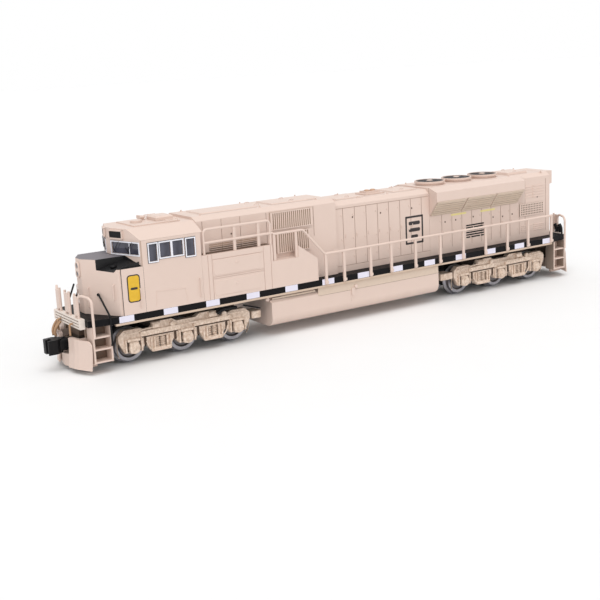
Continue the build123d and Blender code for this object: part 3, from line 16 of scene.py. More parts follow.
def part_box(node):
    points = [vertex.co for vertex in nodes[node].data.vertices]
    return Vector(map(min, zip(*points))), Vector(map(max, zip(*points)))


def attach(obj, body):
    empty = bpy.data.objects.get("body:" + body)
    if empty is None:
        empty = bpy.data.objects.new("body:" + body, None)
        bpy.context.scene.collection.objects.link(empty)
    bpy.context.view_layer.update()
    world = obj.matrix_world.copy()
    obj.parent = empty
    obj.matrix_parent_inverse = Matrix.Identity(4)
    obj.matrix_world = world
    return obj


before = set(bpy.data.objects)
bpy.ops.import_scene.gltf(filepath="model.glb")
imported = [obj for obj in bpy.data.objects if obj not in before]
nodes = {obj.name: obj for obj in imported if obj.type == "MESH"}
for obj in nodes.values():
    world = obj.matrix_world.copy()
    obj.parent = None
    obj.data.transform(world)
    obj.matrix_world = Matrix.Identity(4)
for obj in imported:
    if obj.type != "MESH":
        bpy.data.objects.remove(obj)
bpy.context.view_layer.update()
MM = 0.001

# %% [markdown]
# ## Places measured from the frame
# Everything that is added sits on a CAD piece. Its place is read from that piece's box and not
# typed in twice, so a fitting can't drift off the wall that carries it. Heights are counted
# from `base_z`, the foot of the wheel treads. Only the flanges of the wheels reach below it.

# %% Read the boxes of the main pieces
def corners(node):
    """Lowest and highest corner of a node, in millimetres."""
    low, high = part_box(node)
    return np.array(low) / MM, np.array(high) / MM


half_width, deck_z = corners("underframe")[1][1:]
cab_low, cab_high = corners("cab_shell")
nose_high = corners("nose")[1]
equip_low, equip_high = corners("equipment_hood")
hood_low, hood_high = corners("long_hood")
rad_high = corners("radiator_hood")[1]
hood_half = hood_high[1]
equip_half = equip_high[1]
cab_roof_z = corners("cab_roof")[1][2]
base_z = 0.55
print("deck at", deck_z, "half width", half_width)

# %% [markdown]
# ## Shader maths as Python
# A material is a tree of small nodes, and a tree is hard to read. Here a formula is written as
# one: `Sock` wraps an output socket, and plus, minus, times, remainder and comparisons on it
# each add a Math node. A comparison gives 1 or 0, so two masks are joined by a product.

# %% Sockets that calculate
class Sock:
    """One output socket. Arithmetic on it adds Math nodes to its tree."""

    def __init__(self, tree, out):
        self.tree = tree
        self.out = out

    def math(self, operation, *others):
        """A Math node on this socket and then the others, which are sockets or numbers."""
        return self.tree.node("ShaderNodeMath", enumerate((self, *others)), operation=operation)

    def __add__(self, other):
        return self.math("ADD", other)

    def __sub__(self, other):
        return self.math("SUBTRACT", other)

    def __rsub__(self, other):
        return self.tree.node("ShaderNodeMath", {0: other, 1: self}, operation="SUBTRACT")

    def __mul__(self, other):
        return self.math("MULTIPLY", other)

    def __gt__(self, other):
        return self.math("GREATER_THAN", other)

    def __lt__(self, other):
        return self.math("LESS_THAN", other)

    def __mod__(self, other):
        return self.math("FLOORED_MODULO", other)

    def __abs__(self):
        return self.math("ABSOLUTE")

    __radd__ = __add__
    __rmul__ = __mul__

    def near(self, middle, reach):
        """1 where the value is within reach of a middle, else 0."""
        return abs(self - middle) < reach


print("sockets ready")

# %% [markdown]
# Everything else is a node of some kind, with options to set and inputs to fill. One method
# does that for every kind, in a material or in the world, and gives an output as a `Sock`.

# %% A tree that adds nodes
class Tree:
    """A node tree, with one method that adds any node to it."""

    def __init__(self, node_tree):
        self.node_tree = node_tree

    def fill(self, socket, value):
        """Link a socket to an input, or set the input to a plain value."""
        if isinstance(value, Sock):
            self.node_tree.links.new(value.out, socket)
        else:
            socket.default_value = value

    def node(self, kind, inputs=(), output=0, **settings):
        """Add a node, set its options, then fill its inputs. Gives one output, by number or name."""
        node = self.node_tree.nodes.new(kind)
        for key, value in settings.items():
            setattr(node, key, value)
        for key, value in dict(inputs).items():
            self.fill(node.inputs[key], value)
        return Sock(self, node.outputs[output])


print("trees ready")

# %% [markdown]
# ## A paint
# Every finish of the model needs the same few things: where a point is on the piece, which way
# its surface faces, noise to break up the colour, a blend of two colours, and a bump. `Paint`
# is one material that offers them. Places are read on Object coordinates in millimetres, so
# a pattern keeps its real size and stays on the piece when a truck turns.

# %% The paint class
class Paint(Tree):
    """A material with its shader, and the place and facing of each point as sockets."""

    def __init__(self, name, **fixed):
        self.material = bpy.data.materials.new(name)
        self.material.use_nodes = True
        super().__init__(self.material.node_tree)
        self.shader = self.node_tree.nodes["Principled BSDF"]
        self.feed(**fixed)
        at = self.node("ShaderNodeTexCoord", output="Object")
        self.place = self.node("ShaderNodeVectorMath", {"Vector": at, "Scale": 1 / MM}, operation="SCALE")
        self.x, self.y, self.z = self.split(self.place)
        self.nx, self.ny, self.nz = self.split(self.node("ShaderNodeNewGeometry", output="Normal"))

    def split(self, vector):
        """The three numbers of a vector, each as a socket."""
        first = self.node("ShaderNodeSeparateXYZ", {"Vector": vector})
        return (Sock(self, out) for out in first.out.node.outputs)

    def noise(self, scale, detail=3.0, rough=0.55):
        """Noise over the piece; scale is in features per millimetre."""
        inputs = {"Vector": self.place, "Scale": scale, "Detail": detail, "Roughness": rough}
        return self.node("ShaderNodeTexNoise", inputs)

    def mix(self, factor, a, b):
        """Blend two colours, (1 - factor) of a and factor of b; each is a socket or three numbers."""
        a, b = (value if isinstance(value, Sock) else (*value, 1) for value in (a, b))
        return self.node("ShaderNodeMix", {0: factor, 6: a, 7: b}, 2, data_type="RGBA")

    def feed(self, **values):
        """Link or set inputs of the shader by name."""
        for name, value in values.items():
            self.fill(self.shader.inputs[name.replace("_", " ")], value)

    def bump(self, height, distance):
        """Tilt the shader's normal by the slope of a height; distance is in millimetres."""
        inputs = {"Height": height, "Distance": distance * MM, "Strength": 1.0}
        self.feed(Normal=self.node("ShaderNodeBump", inputs))


print("paint class ready")

# %% [markdown]
# ## Colours
# Colours are matched on a screen, as red, green and blue from 0 to 255. Blender mixes light
# in linear values, so each is converted once. Paint on plastic reflects a little less
# than Blender's default surface, which `PAINT_IOR` says.

# %% Colours of the model
def srgb(red, green, blue):
    """Screen values made linear: a straight part near black, a power of 2.4 above it."""
    values = np.array([red, green, blue]) / 255
    linear = np.where(values <= 0.04045, values / 12.92, ((values + 0.055) / 1.055) ** 2.4)
    return tuple(map(float, linear))


BEIGE = srgb(219, 197, 185)
BEIGE_DEEP = srgb(209, 186, 173)
TAN = srgb(232, 213, 197)
TAN_DEEP = srgb(178, 149, 124)
BLACK = srgb(9, 8, 10)
SHADE = srgb(92, 74, 62)
PAINT_IOR = 1.46
print("beige in linear light:", BEIGE)

# %% [markdown]
# ## Shell paint
# The shell is sprayed a cream beige. Spray leaves a faint mottle, a fine grain and a soft sheen.
# Dirt and shade gather in the door seams, so the paint is darker where a wall lies a seam's
# depth inside its face. The top of the nose is printed black and grey to stop glare, and the top
# of the cabinets is painted brown as painted shade. Each is a mask made from place and facing, so its edge
# stays sharp.

# %% One paint for the whole shell
GROOVE = srgb(172, 146, 130)
GROOVE_DEPTH = 0.12


def shell_paint(name, wall=None, printed=()):
    """Satin beige, mixed towards a deeper beige by noise; rougher where its grain is high.

    Seams in a wall at half width `wall` are shaded. Each printed row is a mask, a colour and
    how much rougher the print is.
    """
    paint = Paint(name, IOR=PAINT_IOR)
    mottle = paint.noise(0.35, 4.0)
    grain = paint.noise(9.0, 2.0)
    shade = paint.mix(mottle * 0.35, BEIGE, BEIGE_DEEP)
    rough = grain * 0.12 + 0.38
    if wall is not None:
        sunk = abs(paint.y).near(wall - GROOVE_DEPTH, GROOVE_DEPTH * 0.8)
        shade = paint.mix(sunk * (abs(paint.nz) < 0.3) * 0.8, shade, GROOVE)
    for area, colour, matt in printed:
        mask = area(paint)
        shade = paint.mix(mask, shade, colour)
        rough = rough + mask * matt
    paint.feed(Base_Color=shade, Roughness=rough)
    paint.bump(grain + paint.noise(2.2) * 0.6, 0.012)
    return paint


beige = shell_paint("body_paint")
hood_paint = shell_paint("hood_paint", hood_half)
equip_paint = shell_paint("equipment_paint", equip_half)
print("beige, hood and equipment paint ready")

# %% [markdown]
# The nose has a grey top and black shelves on both sides of it, and the foot of the cab front
# behind the shelves is black as well. The top of the cabinets is painted dark brown as painted shade.

# %% Printed tops of cab, nose and cabinets
SHELF_TOP = nose_high[2] - 0.2
NOSE_SEAM_X = 62.2


def behind_shelves(p):
    """The front of the cab under a line that falls outwards."""
    return (p.nx > 0.6) * (p.z + abs(p.y) * 0.42 < 25.6) * (p.z < 23.5)


def nose_top(p):
    """Faces that look up, at the top of the nose."""
    return (p.nz > 0.5) * (p.z > SHELF_TOP)


def nose_shelves(p):
    """Shelves, the walls above them, and the dark seam in each side of the nose."""
    shelf = (p.nz > 0.3) * (p.z < SHELF_TOP) * (abs(p.y) < half_width - 0.02)
    wall = (abs(p.ny) > 0.9) * (abs(p.y) < half_width - 0.4)
    seam = (abs(p.ny) > 0.9) * (abs(p.x - NOSE_SEAM_X) < 0.08)
    return shelf + wall + seam


def cabinet_top_shade(p):
    """Top of the cabinets, inside their edge."""
    return (p.nz > 0.5) * (p.z > 20.0) * (abs(p.y) < half_width - 0.8)


cab_paint = shell_paint("cab_paint", half_width, [(behind_shelves, BLACK, 0.0)])
nose_prints = [(nose_top, srgb(112, 107, 112), 0.12), (nose_shelves, BLACK, 0.0)]
nose_paint = shell_paint("nose_paint", printed=nose_prints)
# The top of the cabinets is painted dark brown: painted shade at the foot of the hood.
cabinet_paint = shell_paint("cabinet_paint", printed=[(cabinet_top_shade, srgb(96, 74, 60), 0.12)])
print("cab, nose and cabinets ready")

# %% [markdown]
# ## Truck paint
# The truck castings have the same paint with tan dust over it. Dust is a coarse noise with
# its contrast raised, so it lies in patches. The sides that face inwards lie in shade, which
# is worked out from how far a point is behind the outer face of the frame.

# %% Truck paint and the shade in its recesses
FRAME_FACE = 7.6
truck_paint = Paint("truck_paint", IOR=PAINT_IOR)
dust = truck_paint.noise(1.6, 5.0, 0.65)
span = {"From Min": 6.2, "From Max": FRAME_FACE - 0.05, "To Min": 0.9, "To Max": 0.0}
inward = truck_paint.node("ShaderNodeMapRange", {"Value": abs(truck_paint.y), **span})
cast_tan = truck_paint.mix(dust * 2.4 - 0.85, TAN, TAN_DEEP)
truck_paint.feed(
    Base_Color=truck_paint.mix(inward * (abs(truck_paint.nz) < 0.5), cast_tan, srgb(70, 54, 42)),
    Roughness=dust * 0.2 + 0.45,
)
truck_paint.bump(truck_paint.noise(6.0), 0.03)
print("truck paint ready")

# %% [markdown]
# ## Sill and walkway
# The sill carries a printed band: black with pale blocks at an even pitch. The walkway on top
# is black with a fine tread pattern. A picture would blur close up. A remainder on the X place
# repeats the blocks for ever, and each keeps a sharp edge.

# %% Sill and walkway paint
BLOCK_PITCH, BLOCK_LENGTH, BLOCK_START = 10.33, 3.4, 63.4
TREAD_PITCH, TREAD_REACH = 0.5, 0.12
deck_paint = Paint("deck_paint", IOR=PAINT_IOR, Specular_IOR_Level=0.15)
along = (BLOCK_START - deck_paint.x) % BLOCK_PITCH
on_side = (abs(deck_paint.ny) > 0.5) * (abs(deck_paint.y) > half_width - 0.2)
block = (along < BLOCK_LENGTH) * on_side * (deck_paint.z > deck_z - 1.36)
tread_x = (deck_paint.x % TREAD_PITCH).near(TREAD_PITCH / 2, TREAD_REACH)
tread_y = (deck_paint.y % TREAD_PITCH).near(TREAD_PITCH / 2, TREAD_REACH)
tread = tread_x * tread_y * (deck_paint.nz > 0.5)
# Painted shade: the lip below the band is a dim tan, and every face that is neither block nor lip keeps the
# black. On the walkway and the band that black is real; on the underside and the centre sill it is painted
# shade.
under_lip = (deck_paint.z < deck_z - 1.42) * (abs(deck_paint.y) > half_width - 0.9)
worn = deck_paint.noise(0.7, 4.0)
black_coat_and_shade = deck_paint.mix(worn * 0.5, BLACK, srgb(26, 25, 28))
banded = deck_paint.mix(block, black_coat_and_shade, srgb(224, 221, 234))
sill_colour = deck_paint.mix(under_lip, banded, srgb(204, 182, 163))
deck_paint.feed(Base_Color=sill_colour, Roughness=worn * 0.2 + 0.42)
deck_paint.bump(tread + deck_paint.noise(8.0) * 0.2, 0.08)
print("band: a block of", BLOCK_LENGTH, "every", BLOCK_PITCH)

# %% [markdown]
# ## Plated wheels
# Wheels are plated metal turned on a lathe, so their highlights run in rings round the axle.
# The distance from the axle is the root of dx squared plus dz squared, and a sine of that
# distance gives the rings. The middle of the wheel is darker, because it isn't polished.

# %% Plated wheels
TYRE_WIDTH = 1.35


def wheel_metal(node):
    """Turned metal: rings are the sine of 40 times the distance from the axle."""
    low, high = corners(node)
    middle = (low + high) / 2
    radius = (high[0] - low[0]) / 2
    paint = Paint("wheel_" + node, Metallic=1.0)
    dx = paint.x - middle[0]
    dz = paint.z - middle[2]
    ring = (dx * dx + dz * dz).math("SQRT")
    web = ring < radius - TYRE_WIDTH
    blot = paint.noise(1.4, 4.0)
    bright = paint.mix(blot, srgb(176, 174, 178), srgb(146, 144, 150))
    paint.feed(
        Base_Color=paint.mix(web * 0.75, bright, srgb(92, 86, 84)),
        Roughness=blot * 0.15 + web * 0.15 + 0.26,
    )
    paint.bump((ring * 40).math("SINE"), 0.006)
    return paint


print("wheel metal ready")

# %% [markdown]
# ## Plain finishes
# Black plastic, the cast weight, the fans, the warm exhaust and the printing inks differ only
# in their two colours, their sheen and the size of their mottle. One function makes them all.

# %% Mottled finishes
def mottled(name, first, second, scale, detail=3.0, rough=(0.2, 0.4), relief=0.02, **fixed):
    """Two close colours mixed by one noise.

    Roughness is rough[0] times that noise plus rough[1], and the noise raises a bump.
    """
    paint = Paint(name, **fixed)
    mottle = paint.noise(scale, detail)
    paint.feed(Base_Color=paint.mix(mottle, first, second), Roughness=mottle * rough[0] + rough[1])
    paint.bump(mottle, relief)
    return paint


def ink(name, first, second):
    """Printing ink: a faint mottle on a nearly flat film."""
    return mottled(name, first, second, 1.5, rough=(0.15, 0.4), relief=0.004, IOR=PAINT_IOR)


black_plastic = mottled("black_plastic", BLACK, srgb(22, 21, 23), 5.0, IOR=1.5, Specular_IOR_Level=0.2)
recess = mottled("recess_shade", srgb(84, 62, 46), srgb(58, 44, 36), 2.0, rough=(0.2, 0.6), IOR=PAINT_IOR)
zinc_light, zinc_deep = srgb(140, 140, 142), srgb(100, 100, 104)
zinc = mottled("cast_weight", zinc_light, zinc_deep, 2.0, 5.0, (0.3, 0.4), 0.05, Metallic=1.0)
fan_light, fan_deep = srgb(104, 102, 104), srgb(70, 68, 70)
fan_dark = mottled("fan_dark", fan_deep, fan_light, 3.0, rough=(0.2, 0.35), IOR=1.5, Metallic=0.2)
warm_light, warm_deep = srgb(214, 178, 152), srgb(190, 150, 122)
warm_paint = mottled("warm_exhaust", warm_light, warm_deep, 1.2, 4.0, (0.2, 0.5), IOR=PAINT_IOR)
yellow_ink = ink("yellow_ink", srgb(228, 186, 52), srgb(210, 164, 36))
pale_yellow = ink("pale_yellow_ink", srgb(232, 218, 150), srgb(224, 208, 138))
dark_ink = ink("dark_ink", srgb(38, 33, 34), srgb(54, 46, 46))
print("plain finishes ready")

# %% [markdown]
# ## Two colours on one piece
# Some pieces are one moulding with a second colour on part of it, and that colour is painted shade: steps
# with shaded backs, a beam dark below, vents whose slots are in shade, darker pilot webs and rear step faces.
# A second material would need the faces sorted into slots. A mask from place and facing does it inside one
# material.

# %% Masked finishes
def two_tone(name, first, second, pick, scale=2.0, dusty=0.25, rough=(0.15, 0.4), relief=0.02, ior=PAINT_IOR):
    """The second colour where the mask `pick` is 1, with tan dust mixed in by noise."""
    paint = Paint(name, IOR=ior)
    mottle = paint.noise(scale)
    base = paint.mix(pick(paint), first, second)
    paint.feed(Base_Color=paint.mix(mottle * dusty, base, TAN_DEEP), Roughness=mottle * rough[0] + rough[1])
    paint.bump(mottle, relief)
    return paint


def pierced(name, node, depth, shade):
    """Beige panel, shaded where its surface lies more than `depth` inside its outer face."""
    face = corners(node)[1][1]
    return two_tone(name, BEIGE, shade, lambda p: abs(p.y) < face - depth, 7.0, 0.0, relief=0.012)


sill_paint = two_tone("sill_paint", srgb(214, 195, 178), SHADE, lambda p: p.nz < -0.5)
beam_paint = two_tone("beam_paint", srgb(236, 225, 216), SHADE, lambda p: p.nz < -0.5)
hose_paint = two_tone("hose_paint", srgb(168, 132, 100), SHADE, lambda p: p.nz < -0.5)
step_paint = two_tone("step_paint", BEIGE, SHADE, lambda p: (abs(p.ny) > 0.8) * (abs(p.y) < half_width - 2.0))
# The face of the rear steps that looks forwards is painted darker: painted shade.
rear_step_shaded = two_tone("rear_step_shaded", BEIGE, srgb(140, 126, 116), lambda p: p.nx > 0.5)
# Vent slats are painted brown, and darker in their lower rows: painted shade under the slats.
vent_shaded = two_tone("vent_shaded", srgb(166, 138, 118), SHADE, lambda p: p.z < 22.8)
pocket_paint = two_tone("pocket_paint", BLACK, SHADE, lambda p: p.z > 7.4)
# The upper part of each pilot, the webs up to the deck, is painted darker: painted shade.
pilot_shaded = two_tone("pilot_shaded", BEIGE, srgb(150, 128, 112), lambda p: p.z > 7.6)
louvre_paint = pierced("louvre_paint", "louvres", 0.05, srgb(172, 148, 128))
mesh_paint = pierced("mesh_paint", "mesh_panels", 0.03, srgb(134, 115, 98))
print("masked finishes ready")

# %% [markdown]
# ## Intake screens
# The slanted intakes are covered by fine screens with level wires. The wires are thinner than
# any useful mesh, so they are a repeat on height: a faint dark line in the colour and a bump.

# %% Intake screens
intake = Paint("intake_grille", IOR=PAINT_IOR)
line = (intake.z % 0.6).near(0.3, 0.15)
wash = intake.noise(0.6)
screen = intake.mix(wash, srgb(223, 204, 186), srgb(212, 192, 173))
intake.feed(Base_Color=intake.mix(line * 0.3, screen, srgb(160, 142, 124)), Roughness=wash * 0.2 + 0.5)
intake.bump(1 - line, 0.05)
print("screens ready")

# %% [markdown]
# ## Glazing and lamps
# The cab is hollow, but behind its glazing a model shows only a dark void. A dark, very glossy
# pane is painted shade for that void and picks up the lamps as a real pane does, with pale
# streaks of painted reflection. The frames are printed white on their outer face alone. A headlight housing
# is beige, and its two bores are dark.

# %% Glazing, its frames and the lamp housings
glass = Paint("glazing", Roughness=0.04, IOR=1.5)
# Painted reflection: pale diagonal streaks on the pane. The dark pane itself is painted shade for the void
# inside.
bars = (glass.x + glass.y * 0.6).math("MULTIPLY", 2.4).math("SINE") * 0.5 + 0.5
pane = glass.mix(glass.noise(0.5, 2.0), srgb(34, 33, 41), srgb(78, 78, 92))
glass.feed(Base_Color=glass.mix(bars * 0.45, pane, srgb(96, 97, 112)))

gasket = Paint("window_gasket", IOR=PAINT_IOR)
print_edge = gasket.noise(3.0, 2.0)
white_print = gasket.mix(print_edge, srgb(236, 236, 242), srgb(222, 221, 229))
facing_out = (abs(gasket.ny) > 0.3) * (abs(gasket.nz) < 0.3) * (abs(gasket.ny) > abs(gasket.nx) * 0.3)
frame_colour = gasket.mix(facing_out, srgb(44, 42, 46), white_print)
gasket.feed(Base_Color=frame_colour, Roughness=print_edge * 0.1 + 0.35)
gasket.bump(print_edge, 0.01)

bore_depth = corners("headlights")[1][0] - 0.1


def lamp_bore(p):
    """Faces that look forwards or back and lie inside the front of the housing."""
    return (abs(p.nx) > 0.9) * (abs(p.x) < bore_depth)


lamp_face = two_tone("lamp_face", BEIGE, srgb(60, 54, 52), lamp_bore, 2.0, 0.0, (0.1, 0.3), 0.01, 1.5)
print("glazing ready")

# %% [markdown]
# ## Hand the finishes to the CAD pieces
# A CAD piece keeps its shape. Only the material in its slot changes. A piece that isn't in the
# list is shell beige, and each wheelset gets its own metal, because the rings need its axle.

# %% Assign materials
finish_of = {}
for paint, names in (
    (deck_paint, "underframe"),
    (nose_paint, "nose"),
    (cab_paint, "cab_shell"),
    (cabinet_paint, "left_cabinets right_cabinets"),
    (hood_paint, "long_hood radiator_hood"),
    (equip_paint, "equipment_hood"),
    (louvre_paint, "louvres"),
    (mesh_paint, "mesh_panels"),
    (intake, "intake_grilles"),
    (step_paint, "front_steps"),
    (rear_step_shaded, "rear_steps"),
    (pilot_shaded, "front_pilot rear_pilot"),
    (beam_paint, "anticlimbers"),
    (truck_paint, "front_truck_frame rear_truck_frame"),
    (black_plastic, "front_coupler rear_coupler front_gearcase rear_gearcase number_boards grab_bars"),
    (pocket_paint, "coupler_pockets"),
    (hose_paint, "end_hoses"),
    (fan_dark, "fan_grilles"),
    (zinc, "chassis_weight"),
    (glass, "side_glass windshield"),
    (gasket, "window_frames"),
    (lamp_face, "headlights rear_lamps"),
):
    finish_of.update(dict.fromkeys(names.split(), paint))


def coat(thing, paint):
    """Put one paint in the only slot of an object."""
    thing.data.materials.clear()
    thing.data.materials.append(paint.material)


for node_name, thing in nodes.items():
    wheel = node_name.startswith("wheelset")
    coat(thing, wheel_metal(node_name) if wheel else finish_of.get(node_name, beige))
print("materials on", len(nodes), "nodes")

# %% [markdown]
# ## Camera
# The camera stands where the photograph was taken from: off the left front corner, a little
# above the roof, and close enough that the far end looks smaller. Its three axes are built
# from azimuth and elevation and then rolled. The lens follows from the photograph's focal
# length, which is known in pixels.

# %% Camera
PHOTO_PIXELS = 600
FOCAL_PIXELS = 1082.97
SENSOR_MM = 36.0
AZIMUTH, ELEVATION, ROLL = (math.radians(a) for a in (147.044, 12.709, -2.871))
EYE = Vector((151.371, 215.088, 62.483 + base_z)) * MM
level_part = math.cos(ELEVATION)
back = Vector((math.sin(AZIMUTH) * level_part, -math.cos(AZIMUTH) * level_part, math.sin(ELEVATION)))
right = Vector((0, 0, 1)).cross(back).normalized()
up = back.cross(right)
right_rolled = right * math.cos(ROLL) + up * math.sin(ROLL)
up_rolled = up * math.cos(ROLL) - right * math.sin(ROLL)
turn = Matrix((right_rolled, up_rolled, back)).transposed().to_4x4()
camera_data = bpy.data.cameras.new("camera")
camera_data.lens = FOCAL_PIXELS / PHOTO_PIXELS * SENSOR_MM
camera_data.sensor_width = SENSOR_MM
camera_data.clip_start = 0.01
camera = bpy.data.objects.new("camera", camera_data)
camera.matrix_world = Matrix.Translation(EYE) @ turn
bpy.context.scene.collection.objects.link(camera)
bpy.context.scene.camera = camera
print("lens", round(camera_data.lens, 1))

# %% [markdown]
# ## Floor and world
# A pale floor catches the shadow of the model. The background is white to the camera and in
# mirrors and glass, but it lights the model less than that, so pale paint doesn't burn out.

# %% Floor and world
def mesh_piece(name, points, faces, smooth=False):
    """Make a mesh object from arrays of points in millimetres and faces."""
    mesh = bpy.data.meshes.new(name)
    mesh.from_pydata((np.asarray(points, float) * MM).tolist(), [], [list(map(int, f)) for f in faces])
    mesh.update()
    if smooth:
        mesh.shade_smooth()
    thing = bpy.data.objects.new(name, mesh)
    bpy.context.scene.collection.objects.link(thing)
    return thing


FLOOR_REACH = 3000.0
corner_signs = np.array([(-1, -1, 0), (1, -1, 0), (1, 1, 0), (-1, 1, 0)])
floor = mesh_piece("floor", corner_signs * FLOOR_REACH, [(0, 1, 2, 3)])
floor_paint = Paint("floor_pale", Roughness=0.8)
floor_paint.feed(Base_Color=floor_paint.mix(floor_paint.noise(0.05), (0.86, 0.86, 0.86), (0.84, 0.84, 0.84)))
coat(floor, floor_paint)

world = bpy.data.worlds.new("studio")
world.use_nodes = True
bpy.context.scene.world = world
studio = Tree(world.node_tree)
seen = studio.node("ShaderNodeLightPath", output="Is Camera Ray")
for kind in ("Is Glossy Ray", "Is Transmission Ray"):
    seen = seen.math("MAXIMUM", studio.node("ShaderNodeLightPath", output=kind))
backdrop = world.node_tree.nodes["Background"]
studio.fill(backdrop.inputs["Color"], (1, 1, 1, 1))
studio.fill(backdrop.inputs["Strength"], seen * 0.3 + 0.7)
print("floor and world ready")

# %% [markdown]
# ## Lamps
# The photograph has soft light from above and from the camera's side, with hardly a shadow
# edge. Two suns with a wide angle give that. A sun lights a model of any size alike.

# %% Lamps
def sun(name, place, strength, softness):
    """A wide lamp, so far off that it lights everything alike; its place gives its direction."""
    data = bpy.data.lights.new(name, "SUN")
    data.energy = strength
    data.angle = math.radians(softness)
    thing = bpy.data.objects.new(name, data)
    thing.rotation_euler = Vector(place).to_track_quat("Z", "Y").to_euler()
    bpy.context.scene.collection.objects.link(thing)


sun("key", (0.22, 0.5, 1.4), 1.45, 50)
sun("fill", (0.6, 0.9, 0.4), 0.5, 60)
bpy.context.scene.view_settings.view_transform = "Standard"
print("lamps ready")

# %% [markdown]
# ## Shapes as arrays of points
# Small fittings on such a model are moulded or cut from wire, so three shapes make nearly all
# of them: a pad with a softened top, a turned shape and a wire. Each is a stack of rings, worked
# out with numpy as one array, and the same function joins the rings with faces.

# %% Rings, pads and turned shapes
def grid_quads(rows, count, closed=True):
    """Quads of a grid of rows by count points; a closed grid joins its last column to the first."""
    columns = np.arange(count if closed else count - 1)
    row, place = np.meshgrid(np.arange(rows - 1), columns, indexing="ij")
    here, after = row * count + place, row * count + (place + 1) % count
    return np.stack([here, after, after + count, here + count], -1).reshape(-1, 4)


def rings_to_faces(rows, count):
    """Quads between neighbouring rings of points, with a face over each end."""
    ends = [list(range(count))[::-1], [(rows - 1) * count + i for i in range(count)]]
    return grid_quads(rows, count).tolist() + ends


def pad(length, width, height, corner=0.3, inset=0.12, steps=3):
    """Plate with rounded corners and a softened top.

    The outline is the sum of a small circle and the corners of a rectangle; it is drawn at
    the foot, near the top, and once more a little smaller on top.
    """
    corner = min(corner, length / 2, width / 2)
    quarter = np.linspace(0, np.pi / 2, steps)
    angle = (np.arange(4)[:, None] * np.pi / 2 + quarter).ravel()
    sign_x = np.repeat([1, -1, -1, 1], steps)
    sign_y = np.repeat([1, 1, -1, -1], steps)
    x = corner * np.cos(angle) + sign_x * (length / 2 - corner)
    y = corner * np.sin(angle) + sign_y * (width / 2 - corner)
    shrink = min(inset, min(length, width) / 4, height)
    rings = [(1, 1, 0), (1, 1, height - shrink), (1 - 2 * shrink / length, 1 - 2 * shrink / width, height)]
    points = np.concatenate([np.stack([x * a, y * b, np.full_like(x, z)], -1) for a, b, z in rings])
    return points, rings_to_faces(len(rings), len(x))


def turned(profile, sides=16):
    """Turned shape: every (radius, height) of the profile is swept round the upright axis."""
    radius, height = np.array(profile, float).T
    angle = np.arange(sides) * 2 * np.pi / sides
    x, y = np.outer(radius, np.cos(angle)), np.outer(radius, np.sin(angle))
    points = np.stack([x, y, np.outer(height, np.ones(sides))], -1).reshape(-1, 3)
    return points, rings_to_faces(len(radius), sides)


print("a pad has", len(pad(1, 1, 1)[0]), "points")

# %% [markdown]
# ## Wire
# Handrails, hoses and pipes are wire bent by hand, so a wire is given by its corners. The path
# between them is averaged over a short length, which rounds each corner as a bend does. A
# circle is then carried along the path, square to it.

# %% Wire
def carried(path, radius, sides=8):
    """A circle of the given radius set square to each point of a path."""
    along = np.gradient(path, axis=0)
    along /= np.linalg.norm(along, axis=1)[:, None]
    across = np.eye(3)[int(np.argmin(np.abs(along).sum(axis=0)))]
    side = np.cross(along, across)
    side /= np.linalg.norm(side, axis=1)[:, None]
    other = np.cross(along, side)
    angle = np.arange(sides) * 2 * np.pi / sides
    ring = side[:, None] * np.cos(angle)[:, None] + other[:, None] * np.sin(angle)[:, None]
    return (path[:, None] + radius * ring).reshape(-1, 3), rings_to_faces(len(path), sides)


def wire(bends, radius, sides=8, per_mm=4.0, soften=0.5):
    """Round wire: a circle carried along a path.

    The path is the run between the bends, sampled evenly. It is carried on straight past both
    ends and then averaged over a short length, so each corner becomes a curve.
    """
    bends = np.array(bends, float)
    steps = np.linalg.norm(np.diff(bends, axis=0), axis=1)
    reach = np.concatenate([[0], np.cumsum(steps)])
    count = max(4, int(reach[-1] * per_mm))
    at = np.linspace(0, reach[-1], count)
    path = np.stack([np.interp(at, reach, bends[:, axis]) for axis in range(3)], -1)
    half = int(soften * per_mm)
    if half and count > 2 * half + 2:
        before = path[:1] - (path[1] - path[0]) * np.arange(half, 0, -1)[:, None]
        after = path[-1:] + (path[-1] - path[-2]) * np.arange(1, half + 1)[:, None]
        longer = np.concatenate([before, path, after])
        window = np.ones(2 * half + 1) / (2 * half + 1)
        path = np.stack([np.convolve(longer[:, axis], window, "valid") for axis in range(3)], -1)
    return carried(path, radius, sides)


BOTH_SIDES = ((1, 1), (1, -1))
BOTH_ENDS = ((1, 1), (-1, -1))


def wires(paths, signs, radius, sides=8, per_mm=3.0, soften=0.6, middle=0.0):
    """Wires with bends given above base_z, copied by changing the signs of x and y."""
    base = np.array([middle, 0, base_z])
    placed = [np.array(path) * (*sign, 1) + base for sign in signs for path in paths]
    return [wire(path, radius, sides, per_mm, soften) for path in placed]


def staple(foot, other, off, radius=0.11, sides=8, soften=0.25):
    """Bent grip: from one foot out by `off`, along, and back to the other foot."""
    foot, other, off = np.array(foot, float), np.array(other, float), np.array(off, float)
    return wire([foot, foot + off, other + off, other], radius, sides, 6, soften)


print("wire ready")

# %% [markdown]
# ## Placing and fixing
# A shape is made lying flat and then turned to face a side or an end, by three axes in a small
# matrix. `repeat` sets it at many places at once. `fitting` joins the parts of one piece into
# one mesh, points its faces outwards, and fixes it to the body that it moves with.

# %% Placing helpers
UP = np.eye(3)
TO_LEFT = np.array([[1, 0, 0], [0, 0, -1], [0, 1, 0]])
TO_RIGHT = np.array([[1, 0, 0], [0, 0, 1], [0, -1, 0]])
TO_FRONT = np.array([[0, 1, 0], [0, 0, 1], [1, 0, 0]])
TO_REAR = np.array([[0, -1, 0], [0, 0, 1], [-1, 0, 0]])
WALLS = ((1, TO_LEFT), (-1, TO_RIGHT))
ENDS = ((1, TO_FRONT), (-1, TO_REAR))


